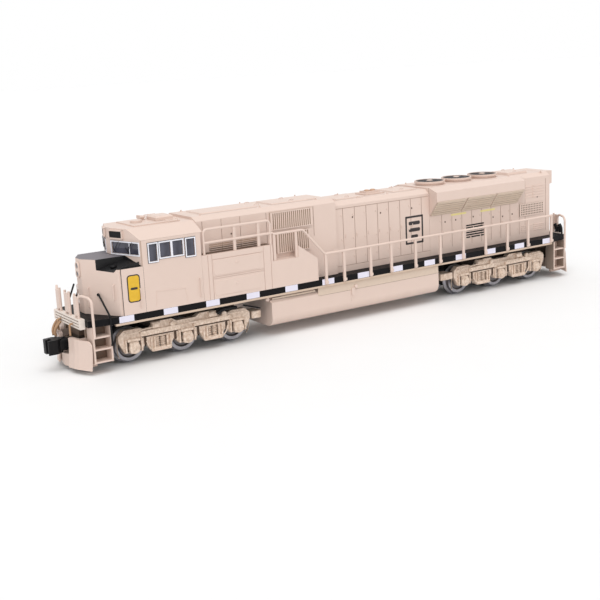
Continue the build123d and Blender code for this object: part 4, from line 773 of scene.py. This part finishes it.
def repeat(part, origins, axes=UP):
    """Copies of one part at many places: its points times the axes, plus each place."""
    points, faces = part
    placed = (points @ axes)[None] + np.asarray(origins, float)[:, None]
    starts = range(0, len(origins) * len(points), len(points))
    return placed.reshape(-1, 3), [[start + i for i in face] for start in starts for face in faces]


def moved(part, origin, axes=UP):
    """One part, turned by its axes and moved to a place."""
    return repeat(part, [origin], axes)


def on_walls(part, y, places):
    """Copies of a part on both walls at half width y; a place is (x, height)."""
    x, z = np.array(places, float).T
    spots = {side: np.stack([x, np.full_like(x, side * y), base_z + z], -1) for side, _ in WALLS}
    return [repeat(part, spots[side], facing) for side, facing in WALLS]


def fitting(name, parts, body, paint, smooth=False):
    """Join parts into one object, point its faces outwards, coat it and fix it to a body."""
    starts = np.cumsum([0] + [len(points) for points, _ in parts])
    faces = [[int(start) + i for i in face] for start, (_, own) in zip(starts, parts) for face in own]
    thing = mesh_piece(name, np.concatenate([points for points, _ in parts]), faces, smooth)
    shell = bmesh.new()
    shell.from_mesh(thing.data)
    bmesh.ops.recalc_face_normals(shell, faces=shell.faces)
    shell.to_mesh(thing.data)
    shell.free()
    coat(thing, paint)
    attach(thing, body)
    print(name, len(faces), "faces")


print("placing helpers ready")

# %% [markdown]
# ## Doors, hinges and latches
# The walls of both hoods are rows of doors. Each door has small hinges on one edge and a pull
# rod near the other. They are moulded on, so they are low pads, repeated along the seams.

# %% Hood doors
DOOR_COUNT = 8
door_pitch = (equip_low[0] - hood_low[0]) / (DOOR_COUNT + 0.5)
door_seams = equip_low[0] - (np.arange(DOOR_COUNT) + 0.75) * door_pitch
rad_seams = rad_high[0] - 4.0 - np.arange(9) * 3.4
HINGE_SHIFT = 0.45
hinges = [(x + HINGE_SHIFT, z) for z in (14.6, 19.0, 24.8) for x in door_seams]
hinges += [(x + HINGE_SHIFT, z) for z in (14.2, 19.6) for x in rad_seams]
pulls = [(x + door_pitch - 0.5, 19.8) for x in door_seams[1:]] + [(x + 2.9, 16.6) for x in rad_seams[1:]]
hinge = pad(0.32, 0.5, 0.1, 0.08, 0.04)
pull = pad(0.16, 0.9, 0.16, 0.08, 0.06)
parts = on_walls(hinge, hood_half, hinges) + on_walls(pull, hood_half, pulls)
fitting("hood_hinges", parts, "body", beige)

# %% [markdown]
# A dark recessed latch shows near the top of some doors. From a distance each is one dark dot,
# so it is a tiny pad in the shade colour. Their places are read from the photograph.

# %% Dark latches
high_latches = [(-0.21, 24.1), (-8.69, 24.1), (-18.5, 24.1), (-62.1, 22.1)]
low_latches = [(-29.3, 19.3), (-32.9, 19.4), (-38.9, 19.5), (-45.9, 18.5), (-49.3, 18.3), (-52.8, 18.5)]
latch = pad(0.3, 0.4, 0.12, 0.1, 0.05)
parts = on_walls(latch, hood_half, high_latches + low_latches) + on_walls(latch, equip_half, [(33.8, 24.6)])
fitting("door_latches", parts, "body", recess)

# %% [markdown]
# ## Cabinet hatches
# The cabinets behind the cab carry two rows of lift-off hatches with softened corners. Each is
# a thin plate that stands a hair proud, so its edge catches a line of shade.

# %% Hatches on the cabinets
hatch_face = corners("left_cabinets")[1][1] - 0.02
parts = on_walls(pad(12.0, 3.4, 0.1, 0.5, 0.05, 5), hatch_face, [(34.3, 18.1)])
parts += on_walls(pad(12.0, 3.3, 0.1, 0.5, 0.05, 5), hatch_face, [(34.3, 13.5)])
parts += on_walls(pad(0.8, 0.4, 0.2, 0.15, 0.08), hatch_face, [(34.4, 18.7), (34.6, 14.0)])
fitting("cabinet_hatches", parts, "body", beige)

# %% [markdown]
# ## Raised strips
# The outline of a door low on the cab side, the black seals round the windows and the frames
# of the number boards are all raised strips. A strip is a flat pad laid along each run of an
# outline, a little longer than the run, so the pads overlap in the corners.

# %% Strips, and the door on the cab side
def frame_strip(outline, width, thick, facing, origin):
    """Raised strip: on each run of the outline a pad, turned to the run and set at its middle."""
    pieces = []
    for (x0, y0), (x1, y1) in zip(outline[:-1], outline[1:]):
        run = math.hypot(x1 - x0, y1 - y0)
        along = np.array([(x1 - x0) / run, (y1 - y0) / run, 0])
        turn = np.array([along, [-along[1], along[0], 0], [0, 0, 1]])
        bar = pad(run + width, width, thick, width / 3, width / 5)
        laid = moved(bar, ((x0 + x1) / 2, (y0 + y1) / 2, 0), turn)
        pieces.append(moved(laid, origin, facing))
    return pieces


def rectangle(half_x, half_z):
    """Closed outline of a rectangle round the origin."""
    return [(-half_x, half_z), (half_x, half_z), (half_x, -half_z), (-half_x, -half_z), (-half_x, half_z)]


parts = []
for side, facing in WALLS:
    outline = [(-3.9, 0), (-3.5, -side * 3.2), (3.4, -side * 3.6), (3.6, -side * 0.4)]
    parts += frame_strip(outline, 0.14, 0.07, facing, (51.0, side * (cab_high[1] - 0.01), base_z + 11.6))
fitting("cab_door_outline", parts, "body", beige)

# %% [markdown]
# Each side window of the cab has a thin black seal round its white frame. The rows below give
# the rear and front of a pane from the back of the cab, and how far its foot is below the eave.

# %% Dark seals round the side windows
CAB_EAVE = 26.4
WINDOW_TOP = 1.0
SEAL_OFFSET = 0.32
parts = []
for rear, front, drop in ((10.5, 12.35, 4.7), (7.3, 9.8, 4.15), (4.4, 6.8, 4.15), (1.55, 3.5, 4.7)):
    box = rectangle((front - rear) / 2 + SEAL_OFFSET, (drop - WINDOW_TOP) / 2 + SEAL_OFFSET)
    middle_x = cab_low[0] + (rear + front) / 2
    middle_z = base_z + CAB_EAVE - (drop + WINDOW_TOP) / 2
    for side, facing in WALLS:
        parts += frame_strip(box, 0.1, 0.05, facing, (middle_x, side * half_width, middle_z))
fitting("window_seals", parts, "body", black_plastic)

# %% [markdown]
# ## Slats
# Behind the slanted intakes the real hood has slatted openings, and vents stand high on the
# equipment hood, their slats painted brown as painted shade. The slats are low bars, so each kind is one pad
# repeated.
# The dark ones under the intakes are printed as plain bars.

# %% Slats
slat_rows = [*np.arange(22.3, 25.4, 0.72), *np.arange(13.2, 14.9, 0.5)]
slat_places = [(x, z) for x in (-58.1, -62.7) for z in slat_rows]
parts = on_walls(pad(4.0, 0.3, 0.12, 0.06, 0.05), hood_half, slat_places)
parts += on_walls(pad(0.3, 3.4, 0.14, 0.08, 0.05), hood_half, [(-60.4, 23.8)])
fitting("rear_slats", parts, "body", beige)
vent_places = [(x, z) for x in (36.6, 29.9) for z in np.arange(21.5, 23.3, 0.42)]
vents = on_walls(pad(6.0, 0.22, 0.1, 0.06, 0.04), equip_half, vent_places)
fitting("vent_slats", vents, "body", vent_shaded)
bar_places = [(-39.5, z) for z in np.arange(14.3, 18.0, 0.62)]
dark_bars = on_walls(pad(6.2, 0.36, 0.04, 0.08, 0.02), hood_half, bar_places)
fitting("printed_bars", dark_bars, "body", black_plastic)

# %% [markdown]
# ## Printed marks
# A model like this has marks printed on its hood and cab. Here they are plain shapes: a dark
# frame round three bars on the hood, pale yellow dashes under the intakes and a yellow panel
# with a dark edge on the cab. Each is a thin raised print, as thick as ink on such a model.

# %% Frames, dashes and panel
INK = 0.03
MARK_X, MARK_Z = -19.2, 18.6
parts = []
for side, facing in WALLS:
    parts += frame_strip(rectangle(2.6, 3.3), 0.5, INK, facing, (MARK_X, side * hood_half, base_z + MARK_Z))
for bar_length, lift in ((3.6, 1.7), (3.6, 0.0), (2.2, -1.7)):
    parts += on_walls(pad(bar_length, 0.9, INK, 0.3, 0.01), hood_half, [(MARK_X, MARK_Z + lift)])
fitting("printed_frames", parts, "body", dark_ink)
dashes = on_walls(pad(5.2, 0.5, INK, 0.2, 0.01), hood_half, [(-33.9, 20.8), (-44.0, 20.6)])
fitting("printed_dashes", dashes, "body", pale_yellow)
panel_place = [(59.5, 16.6)]
edge = on_walls(pad(3.0, 5.9, INK, 0.7, 0.01, 5), cab_high[1], panel_place)
edge += on_walls(pad(1.6, 0.5, INK, 0.2, 0.01), cab_high[1] + 2 * INK, panel_place)
fitting("printed_panel_edge", edge, "body", dark_ink)
panel = on_walls(pad(2.5, 5.4, INK, 0.5, 0.01, 5), cab_high[1] + INK, panel_place)
fitting("printed_panel", panel, "body", yellow_ink)

# %% [markdown]
# ## Nose and cab fittings
# The fronts of the nose and of the cab slant back to both sides. A fitting on them needs a
# place along the slant and a distance off it, which `SlantedFace` works out. Wipers hang from
# above each windshield pane, and both their arms and their blades are thin wire.

# %% Wipers
class SlantedFace:
    """A slanted front. From above it is a line from start to end, mirrored on the right side."""

    def __init__(self, start, end):
        run = np.subtract(end, start)
        self.start = np.array(start)
        self.along = run / np.linalg.norm(run)

    def at(self, distance, height, off, side):
        """Start plus distance along the line, then out by `off` square to it, at a height."""
        x, y = self.start + self.along * distance
        return np.array([x + self.along[1] * off, side * (y - self.along[0] * off), base_z + height])


cab_front = SlantedFace((cab_high[0], 1.2), (cab_high[0] - 2.95, cab_high[1] - 0.2))
nose_front = SlantedFace((nose_high[0], 1.3), (nose_high[0] - 4.76, nose_high[1] - 0.36))
parts = []
for side in (1, -1):
    for start, tip in ((2.6, 1.3), (6.6, 5.2)):
        arm = [(start, 25.95, 0.05), (start, 25.8, 0.3), (tip, 23.9, 0.3)]
        parts.append(wire([cab_front.at(*place, side) for place in arm], 0.06, 6, 6, 0.3))
        blade = [(tip - 0.5, 24.7, 0.26), (tip + 0.45, 23.5, 0.26)]
        parts.append(wire([cab_front.at(*place, side) for place in blade], 0.08, 6, 4, 0))
fitting("wipers", parts, "body", black_plastic)

# %% [markdown]
# Grab irons are short grips of bent wire to climb by. Each is a staple: a foot, a straight bar
# held off the surface, and another foot.

# %% Grab irons
parts = []
for side in (1, -1):
    for distance, low, high in ((1.6, 12.6, 16.8), (8.2, 14.6, 17.8)):
        foot = nose_front.at(distance, low, 0.0, side)
        off = nose_front.at(distance, low, 0.45, side) - foot
        parts.append(staple(foot, nose_front.at(distance, high, 0.0, side), off))
    for x in (58.2, 43.9):
        y = side * cab_high[1]
        parts.append(staple((x, y, base_z + 12.4), (x, y, base_z + 16.4), (0, side * 0.4, 0), 0.1))
    parts.append(staple((46.0, side * 5.4, cab_roof_z), (49.0, side * 5.4, cab_roof_z), (0, 0, 0.5)))
fitting("grab_irons", parts, "body", beige)

# %% [markdown]
# A round filler cap for sand stands on each shelf of the nose, and the nose has a black knob
# on both sides of its front. Both are turned shapes, given by radius and height.

# %% Sand caps and knobs
cap = turned([(0.75, 0), (0.75, 0.35), (0.62, 0.5), (0.3, 0.58), (0.1, 0.58)], 20)
knob = turned([(0.12, 0), (0.3, 0.06), (0.34, 0.2), (0.26, 0.38), (0.08, 0.44)], 14)
parts = []
for side, facing in WALLS:
    parts.append(moved(cap, (62.2, side * 6.2, base_z + 21.0)))
    parts.append(moved(knob, nose_front.at(4.0, 15.5, 0.2, side), facing))
fitting("sand_caps", parts, "body", black_plastic, True)

# %% [markdown]
# The number boards above the windshield stand in deep frames. The frame is a strip round a
# rectangle, turned so that it lies on the slant of the cab front. The boards stay blank.

# %% Frames round the number boards
parts = []
for side in (1, -1):
    ahead, aside = cab_front.along
    axes = np.array([[ahead, side * aside, 0], [0, 0, 1], [aside, -side * ahead, 0]])
    parts += frame_strip(rectangle(1.95, 0.85), 0.3, 0.42, axes, cab_front.at(1.9, 27.35, 0.0, side))
fitting("board_frames", parts, "body", beige)

# %% [markdown]
# ## Lamp lenses
# Each headlight has a clear lens over a dark bowl. The lens is a shallow dome: a quarter of an
# ellipse, turned round its axis, and set in the bore of its housing.

# %% Lenses
LENS_RADIUS = 0.5
lens_paint = Paint("lens_clear", Roughness=0.08, IOR=1.5)
lens_paint.feed(Base_Color=lens_paint.mix(lens_paint.noise(3.0), srgb(126, 122, 126), srgb(84, 80, 84)))
dome = np.linspace(0, np.pi / 2, 6)[:-1]
profile = [(LENS_RADIUS, 0), *np.stack([LENS_RADIUS * np.cos(dome), 0.05 + 0.13 * np.sin(dome)], -1)]
lens = turned(profile, 20)
lamp_low, lamp_high = corners("headlights")
rear_low, rear_high = corners("rear_lamps")
lamp_x, lamp_z = lamp_high[0] - 0.2, lamp_low[2] + 0.87
rear_x, rear_z = rear_low[0] + 0.2, (rear_low[2] + rear_high[2]) / 2
parts = [
    repeat(lens, [(lamp_x, 0, lamp_z), (lamp_x, 0, lamp_z + 1.75)], TO_FRONT),
    repeat(lens, [(rear_x, -0.875, rear_z), (rear_x, 0.875, rear_z)], TO_REAR),
]
fitting("lamp_lenses", parts, "body", lens_paint, True)

# %% [markdown]
# ## Roof fans
# Three fans cool the radiators, and their blades show through the guards. A blade is a flat
# slab between two radii, raised on one side by its tilt. A hub sits in the middle of a guard.

# %% Fan blades and hubs
fan_low, fan_high = corners("fan_grilles")
fan_radius = (fan_high[1] - fan_low[1]) / 2
fan_places = np.linspace(fan_high[0] - fan_radius, fan_low[0] + fan_radius, 3)


def blade_ring(count, inner, outer, tilt, thick):
    """Fan blades: corners at radius times cosine and sine of their angle, doubled for thickness."""
    half = np.pi / count * 0.72
    angle = np.arange(count)[:, None] * 2 * np.pi / count + np.array([-half, half, half, -half])
    radius = np.array([inner, inner, outer, outer])
    lift = np.broadcast_to(np.array([0, tilt, tilt, 0]), angle.shape)
    flat = np.stack([radius * np.cos(angle), radius * np.sin(angle), lift], -1)
    points = np.concatenate([flat, flat + np.array([0, 0, thick])], axis=1)
    box = [[0, 1, 2, 3], [4, 5, 6, 7], [0, 1, 5, 4], [1, 2, 6, 5], [2, 3, 7, 6], [3, 0, 4, 7]]
    return points.reshape(-1, 3), [[own * 8 + i for i in face] for own in range(count) for face in box]


blades = blade_ring(9, 0.6, 3.2, 0.1, 0.03)
hub = turned([(0.75, 0), (0.75, 0.2), (0.6, 0.26), (0.2, 0.28)], 18)
parts = [repeat(blades, [(x, 0, fan_low[2] - 0.03) for x in fan_places])]
fitting("fan_blades", parts, "body", fan_dark)
parts = [repeat(hub, [(x, 0, fan_high[2] - 0.02) for x in fan_places])]
fitting("fan_hubs", parts, "body", beige, True)

# %% [markdown]
# ## Roof fittings
# A crane lifts the real hood off by eyes along the roof edges, and flat straps cover the roof
# joints. The lift-off hatches have handles, which are staples like the grab irons.

# %% Lifting eyes, joint straps and handles
SUNK = 0.02
hood_roof, equip_roof, rad_roof = (high[2] - SUNK for high in (hood_high, equip_high, rad_high))
eye = turned([(0.28, 0), (0.28, 0.12), (0.16, 0.18), (0.16, 0.42), (0.08, 0.46)], 12)
strap = pad(0.35, 8.6, 0.08, 0.08, 0.03)
parts = []
for y, z, places in (
    (4.2, hood_roof, (-20.5, -12.5, -3.5, 3.5)),
    (4.5, equip_roof, (9.0, 24.5, 40.0)),
    (5.2, rad_roof, (-26.0, -52.6, -64.5)),
):
    parts.append(repeat(eye, [(x, side * y, z) for side in (1, -1) for x in places]))
parts.append(repeat(strap, [(x, 0, hood_roof) for x in (-23.4, -6.3, 4.2)]))
parts.append(repeat(strap, [(x, 0, rad_roof) for x in (-34.3, -43.4, -53.6, -65.8)]))
fitting("roof_eyes", parts, "body", beige)

HATCH_THICK = 0.24
hatches = [(24.0, equip_roof), (14.5, equip_roof), (-18.6, hood_roof), (-1.6, hood_roof)]
grips = []
for x, roof in hatches + [(-57.6, rad_roof + 0.35)]:
    for y in (-2.2, 2.2):
        base = roof + HATCH_THICK
        grips.append(staple((x - 0.6, y, base), (x + 0.6, y, base), (0, 0, 0.3), 0.08, 6, 0.2))
fitting("hatch_handles", grips, "body", beige)

# %% [markdown]
# The exhaust ends in a low box with two round outlets. Heat has browned its paint, so it gets
# a warmer colour than the roof. The outlets are turned, and a pad with round corners is the box.

# %% Exhaust cover
stack_low, stack_high = corners("exhaust_stack")
stack_x = (stack_low[0] + stack_high[0]) / 2
stack_z = stack_high[2] - 0.34
drum = turned([(0.62, 0), (0.62, 0.5), (0.5, 0.62), (0.2, 0.66)])
parts = [moved(pad(3.4, 1.7, 0.12, 0.3, 0.05, 4), (stack_x, 0, stack_z))]
parts.append(repeat(drum, [(stack_x + dx, 0, stack_z) for dx in (-0.9, 0.9)]))
fitting("exhaust_cover", parts, "body", warm_paint)

# %% [markdown]
# ## Tank and sill fittings
# Above the fuel tank a long plate hides the sill, with a filler cap and a gauge below it. Air
# pipes run forwards from the tank, and black hoses hang from the sill over the front truck.
# Plates are pads, caps are turned, and pipes and hoses are wire with a wide bend.

# %% Plates, caps, pipes and hoses
TANK_SIDE = half_width - 0.55
plates = on_walls(pad(36.8, 1.9, 0.3, 0.1, 0.06), TANK_SIDE - 0.2, [(-5.7, 8.15)])
plates += on_walls(pad(12.0, 0.5, 0.25, 0.1, 0.06), TANK_SIDE - 0.6, [(19.2, 8.5)])
filler = turned([(0.5, 0), (0.5, 0.3), (0.36, 0.46), (0.12, 0.5)])
parts = on_walls(filler, TANK_SIDE + 0.05, [(1.8, 7.9)]) + on_walls(filler, 8.5, [(26.4, 8.6)])
parts += on_walls(pad(0.4, 2.4, 0.12, 0.15, 0.05), TANK_SIDE - 0.03, [(3.1, 5.6)])
low_pipe = [(25.8, 8.6, 8.0), (24.4, 8.6, 8.0), (12.8, 8.6, 7.8)]
high_pipe = [(27.0, 8.3, 9.0), (25.6, 8.3, 9.0), (13.5, 8.3, 8.8)]
parts += wires([low_pipe, high_pipe], BOTH_SIDES, 0.26, 8, 1.2, 0.8)
fitting("tank_pipes", parts, "body", beige)
fitting("sill_plates", plates, "body", sill_paint)
hose = [(39.6, 8.6, 7.6), (38.3, 8.6, 8.3), (36.6, 8.6, 8.3), (34.6, 8.6, 8.2)]
rod = [(32.8, 8.6, 8.35), (30.4, 8.6, 7.6), (28.4, 8.6, 6.9)]
dark = wires([hose], BOTH_SIDES, 0.42, 10, 3, 0.5) + wires([rod], BOTH_SIDES, 0.16, 8, 3, 0.4)
fitting("sill_hoses", dark, "body", black_plastic, True)

# %% [markdown]
# ## Truck fittings
# A cast truck frame is busy: bolted axle covers, ribs, coil springs, brake rods and sand
# pipes. The castings repeat at every axle and in every bay between two axles, so they are two
# tables: the size of a pad, and its places round the axle or the middle of the bay.

# %% Tables of castings
AXLE_STEP = 12.85
WHEEL_HEIGHT = 3.42
COVER_FACE = 8.4
AXLE_PADS = (
    ((2.2, 2.5, 0.72, 0.35, 0.15), [(0, 3.5)]),
    ((0.42, 2.9, 0.5, 0.15, 0.1), [(-1.85, 3.9), (1.85, 3.9)]),
    ((3.0, 0.6, 0.62, 0.15, 0.12), [(0, 5.1)]),
)
AXLE_SHADES = (((0.5, 2.3, 0.1, 0.15, 0.04), [(-1.37, 3.7), (1.37, 3.7)]),)
BAY_PADS = (
    ((4.9, 0.8, 0.6, 0.35, 0.15), [(0, 2.15)]),
    ((0.34, 2.6, 0.45, 0.12, 0.1), [(-2.3, 3.6), (-1.5, 3.6), (1.5, 3.6), (2.3, 3.6)]),
    ((9.6, 1.15, 0.5, 0.25, 0.12), [(0, 6.1)]),
)
BAY_SHADES = (
    ((8.6, 0.28, 0.08, 0.08, 0.03), [(0, 5.3)]),
    ((0.6, 1.7, 0.08, 0.15, 0.03), [(-3.6, 4.3), (3.6, 4.3)]),
)


def around(centres, places):
    """All places, given from a centre, round every centre."""
    return [(centre + dx, z) for centre in centres for dx, z in places]


def castings(table, centres):
    """The pads of a table on both sides of a truck."""
    rows = [on_walls(pad(*size), FRAME_FACE, around(centres, places)) for size, places in table]
    return [part for row in rows for part in row]


print("castings per axle", len(AXLE_PADS), "per bay", len(BAY_PADS))

# %% [markdown]
# Each bay holds a pair of coil springs. A coil is a circle carried up a helix. Rods run along
# the outside of the frame, levers hang at its ends, and a sand pipe leads down to each end
# wheel. All of them ride on the truck, so they turn with it, and one function dresses a truck.

# %% Dress both trucks
LONG_RUN = [(-15.2, 6.9), (-9.4, 6.9), (-8.4, 6.6), (1.0, 6.6)]
SHORT_RUN = [(15.3, 6.7), (11.6, 6.7), (11.0, 7.1), (7.4, 7.3)]
LEVER = [(4.8, 2.0), (8.2, 1.9), (9.6, 3.0), (10.0, 4.4)]
SAND_PIPE = [(15.9, 6.9, 6.6), (16.3, 6.9, 5.6), (16.3, 6.6, 2.6), (15.8, 6.2, 1.3)]
ALL_CORNERS = BOTH_SIDES + ((-1, 1), (-1, -1))
ROD_FACE = FRAME_FACE + 0.62
bolt = turned([(0.14, 0), (0.14, 0.1), (0.09, 0.14)], 6)
cover = turned([(0.6, 0), (0.6, 0.12), (0.45, 0.2), (0.15, 0.22)])


def coil(radius, thick, low, high, turns, sides=6):
    """Coil spring: a circle carried up a helix, radius times cosine and sine, rising evenly."""
    angle = np.linspace(0, turns * 2 * np.pi, int(turns * 14))
    path = np.stack([radius * np.cos(angle), radius * np.sin(angle), np.linspace(low, high, len(angle))], -1)
    return carried(path, thick, sides)


def off_frame(path):
    """A path of (x, z) set at the distance of the rods."""
    return [(x, ROD_FACE, z) for x, z in path]


def dress_truck(body, middle, arm_end):
    """All fittings of one truck; arm_end is where the arm towards the tank stops."""
    axles = middle + np.array([-AXLE_STEP, 0, AXLE_STEP])
    bays = middle + np.array([-AXLE_STEP, AXLE_STEP]) / 2
    bolt_angle = np.arange(4) * np.pi / 2 + np.pi / 4
    cover_bolts = np.stack([np.cos(bolt_angle), np.sin(bolt_angle)], -1) * 1.08 + (0, WHEEL_HEIGHT)
    parts = castings(AXLE_PADS, axles) + castings(BAY_PADS, bays)
    parts += on_walls(bolt, COVER_FACE - 0.1, around(axles, cover_bolts))
    parts += on_walls(cover, COVER_FACE + 0.08, around(axles, [(0, WHEEL_HEIGHT)]))
    rib_bolts = [(dx, 6.1) for dx in (-4.2, -2.1, 0, 2.1, 4.2)]
    parts += on_walls(bolt, FRAME_FACE + 0.5, around(bays, rib_bolts))
    parts += on_walls(drum, FRAME_FACE, around(bays, [(-3.0, 7.1)]))
    root = middle + np.sign(arm_end - middle) * (AXLE_STEP + 3.9)
    arm = pad(abs(root - arm_end), 1.7, 3.4, 0.2, 0.12)
    parts += on_walls(arm, 4.4, [((root + arm_end) / 2, 5.4)])
    rods = wires([off_frame(run) for run in (LONG_RUN, SHORT_RUN)], BOTH_SIDES, 0.14, 8, 2, 0.8, middle)
    rods += wires([off_frame(LEVER)], ALL_CORNERS, 0.13, 8, 2.5, 0.6, middle)
    rods += wires([SAND_PIPE], ALL_CORNERS, 0.15, 8, 3, 0.6, middle)
    spring_x = [bay + dx for bay in bays for dx in (-0.75, 0.75)]
    spring_places = [(x, side * 6.95, base_z) for x in spring_x for side in (1, -1)]
    springs = [repeat(coil(0.62, 0.13, 2.45, 4.75, 5), spring_places)]
    fitting(body + "_castings", parts, body, truck_paint)
    shades = castings(AXLE_SHADES, axles) + castings(BAY_SHADES, bays)
    fitting(body + "_shades", shades, body, recess)
    fitting(body + "_rods", rods, body, truck_paint, True)
    fitting(body + "_springs", springs, body, truck_paint, True)


for body, arm_end in (("front_truck", 27.8), ("rear_truck", -26.2)):
    low, high = corners(body + "_frame")
    dress_truck(body, (low[0] + high[0]) / 2, arm_end)

# %% [markdown]
# ## End platforms
# A black lever bends up from each end walkway to lift the coupler's pin, and two thick cables
# hang at the rear. Tan brake hoses curve down under each end beam. All are bent wire. What
# stands at the front stands at the rear too, turned half round: x and y change their signs.

# %% Levers, cables and brake hoses
lever = [(69.5, 1.7, 17.9), (69.5, -0.6, 15.4), (69.5, -2.3, 13.6), (69.5, -2.4, 12.2), (69.3, -2.4, 11.1)]
parts = wires([lever], BOTH_ENDS, 0.2)
for y in (5.4, 6.8):
    cable = [(-70.3, y - 0.4, 13.6), (-70.6, y, 12.6), (-70.6, y, 10.6), (-70.4, y - 0.3, 9.8)]
    parts += wires([cable], ((1, 1),), 0.55, 10)
fitting("levers_and_hoses", parts, "body", black_plastic, True)


def brake_hose(shift, reach):
    """Bends of one hose: `shift` moves it sideways, `reach` bows it outwards."""
    return [
        (71.4, shift - 5.0, 9.4),
        (72.0 + reach, shift - 5.0, 8.5),
        (72.6 + reach, shift * 0.8 - 4.8, 7.4),
        (72.5 + reach, shift * 0.75 - 4.7, 6.2),
    ]


hoses = [brake_hose(0.0, 0.2), brake_hose(0.95, 0.0), brake_hose(1.9, 0.25)]
fitting("brake_hoses", wires(hoses, BOTH_ENDS, 0.3), "body", hose_paint, True)

# %% [markdown]
# ## Plow
# A plow in two halves covers the foot of each end. It is bowed forwards low down and has one
# crease. A half is a sheet on a grid: one parameter runs along its plan line, the other runs
# up. A second sheet behind it and a rim round the border give it thickness.

# %% Plow halves
PLAN_KNEE = 0.48
PLOW_FOOT, PLOW_TOP, PLOW_THICK = 0.6, 6.9, 0.3


def plow_half(end, side, rows=7, columns=13):
    """Half of a plow.

    In plan, two straight runs. The top drops with the square of the last part of the run. The
    bow is the square of the height left to the top, and the crease is a narrow bell curve.
    """
    run = np.linspace(0, 1, columns)
    x = np.interp(run, [0, PLAN_KNEE, 1], [72.3, 71.55, 70.0])
    y = np.interp(run, [0, PLAN_KNEE, 1], [2.75, 5.9, 9.3])
    top = PLOW_TOP - 2.2 * np.clip(run - 0.86, 0, 1) ** 2 * 20
    z = PLOW_FOOT + np.linspace(0, 1, rows)[:, None] * (top - PLOW_FOOT)
    bow = 0.45 * (1 - (z - PLOW_FOOT) / (PLOW_TOP - PLOW_FOOT)) ** 2
    crease = 0.16 * np.exp(-(((run - 0.3) / 0.05) ** 2))
    sheets = [
        np.stack([end * (x + bow + crease - thick), side * y + 0 * z, base_z + z], -1).reshape(-1, 3)
        for thick in (0.0, PLOW_THICK)
    ]
    front = grid_quads(rows, columns, closed=False)
    below, above = np.arange(columns), (rows - 1) * columns + np.arange(columns - 2, -1, -1)
    outer, inner = np.arange(2, rows + 1) * columns - 1, np.arange(rows - 2, 0, -1) * columns
    border = np.concatenate([below, outer, above, inner])
    after = np.roll(border, -1)
    behind = rows * columns
    rim = np.stack([border, border + behind, after + behind, after], -1)
    return np.concatenate(sheets), np.concatenate([front, front[:, ::-1] + behind, rim]).tolist()


parts = [plow_half(end, side) for end in (1, -1) for side in (1, -1)]
print("plow halves:", len(parts))

# %% [markdown]
# Flat gate plates stand between the end rails, and each step has a raised edge so that a boot
# doesn't slip. They are painted with the plow and fixed with it, so they join its piece.

# %% Gate plates and step edges
GATE_X, GATE_Z = 70.72, 14.0
STEP_X, STEP_HEIGHTS = 67.35, (7.6, 5.0, 2.3)
for end, facing in ENDS:
    parts.append(moved(pad(2.0, 4.2, 0.25, 0.15, 0.06), (end * GATE_X, 0, base_z + GATE_Z), facing))
    side_gates = [(end * GATE_X, side * 4.9, base_z + GATE_Z) for side in (1, -1)]
    parts.append(repeat(pad(1.7, 4.2, 0.25, 0.15, 0.06), side_gates, facing))
treads = [(end * STEP_X, z - 0.17) for end in (1, -1) for z in STEP_HEIGHTS]
parts += on_walls(pad(3.9, 0.3, 0.12, 0.1, 0.05), half_width - 0.42, treads)
fitting("plow_blades", parts, "body", beige)

# %% [markdown]
# ## Coupler boxes and rail sockets
# The shank of each coupler ends in a bulky box with a pin on top. It swings with the coupler,
# so it rides on the coupler's body. Every handrail post stands in a small socket on the sill.

# %% Coupler boxes and handrail sockets
for name, (end, facing) in zip(("front_coupler", "rear_coupler"), ENDS):
    box = moved(pad(2.6, 2.6, 2.6, 0.5, 0.3, 4), (end * 71.75, 0, base_z + 5.2), facing)
    pin = moved(turned([(0.5, 0), (0.5, 0.15), (0.35, 0.2)], 14), (end * 72.6, 0, base_z + 6.5))
    fitting(name + "_box", [box, pin], name, black_plastic)
post_x = [10.6, 5.3, -2.5, -8.8, -16.4, -24.4, -32.1, -39.7, -47.5, -55.1, -63.8]
sockets = on_walls(pad(0.9, 0.7, 0.12, 0.15, 0.05), half_width + 0.36, [(x, 10.3) for x in post_x])
fitting("post_bolts", sockets, "body", beige)

# %% [markdown]
# ## Close the scene
# The visual model has to stay inside the CAD box.

# %% Finish
print("scene dressed")
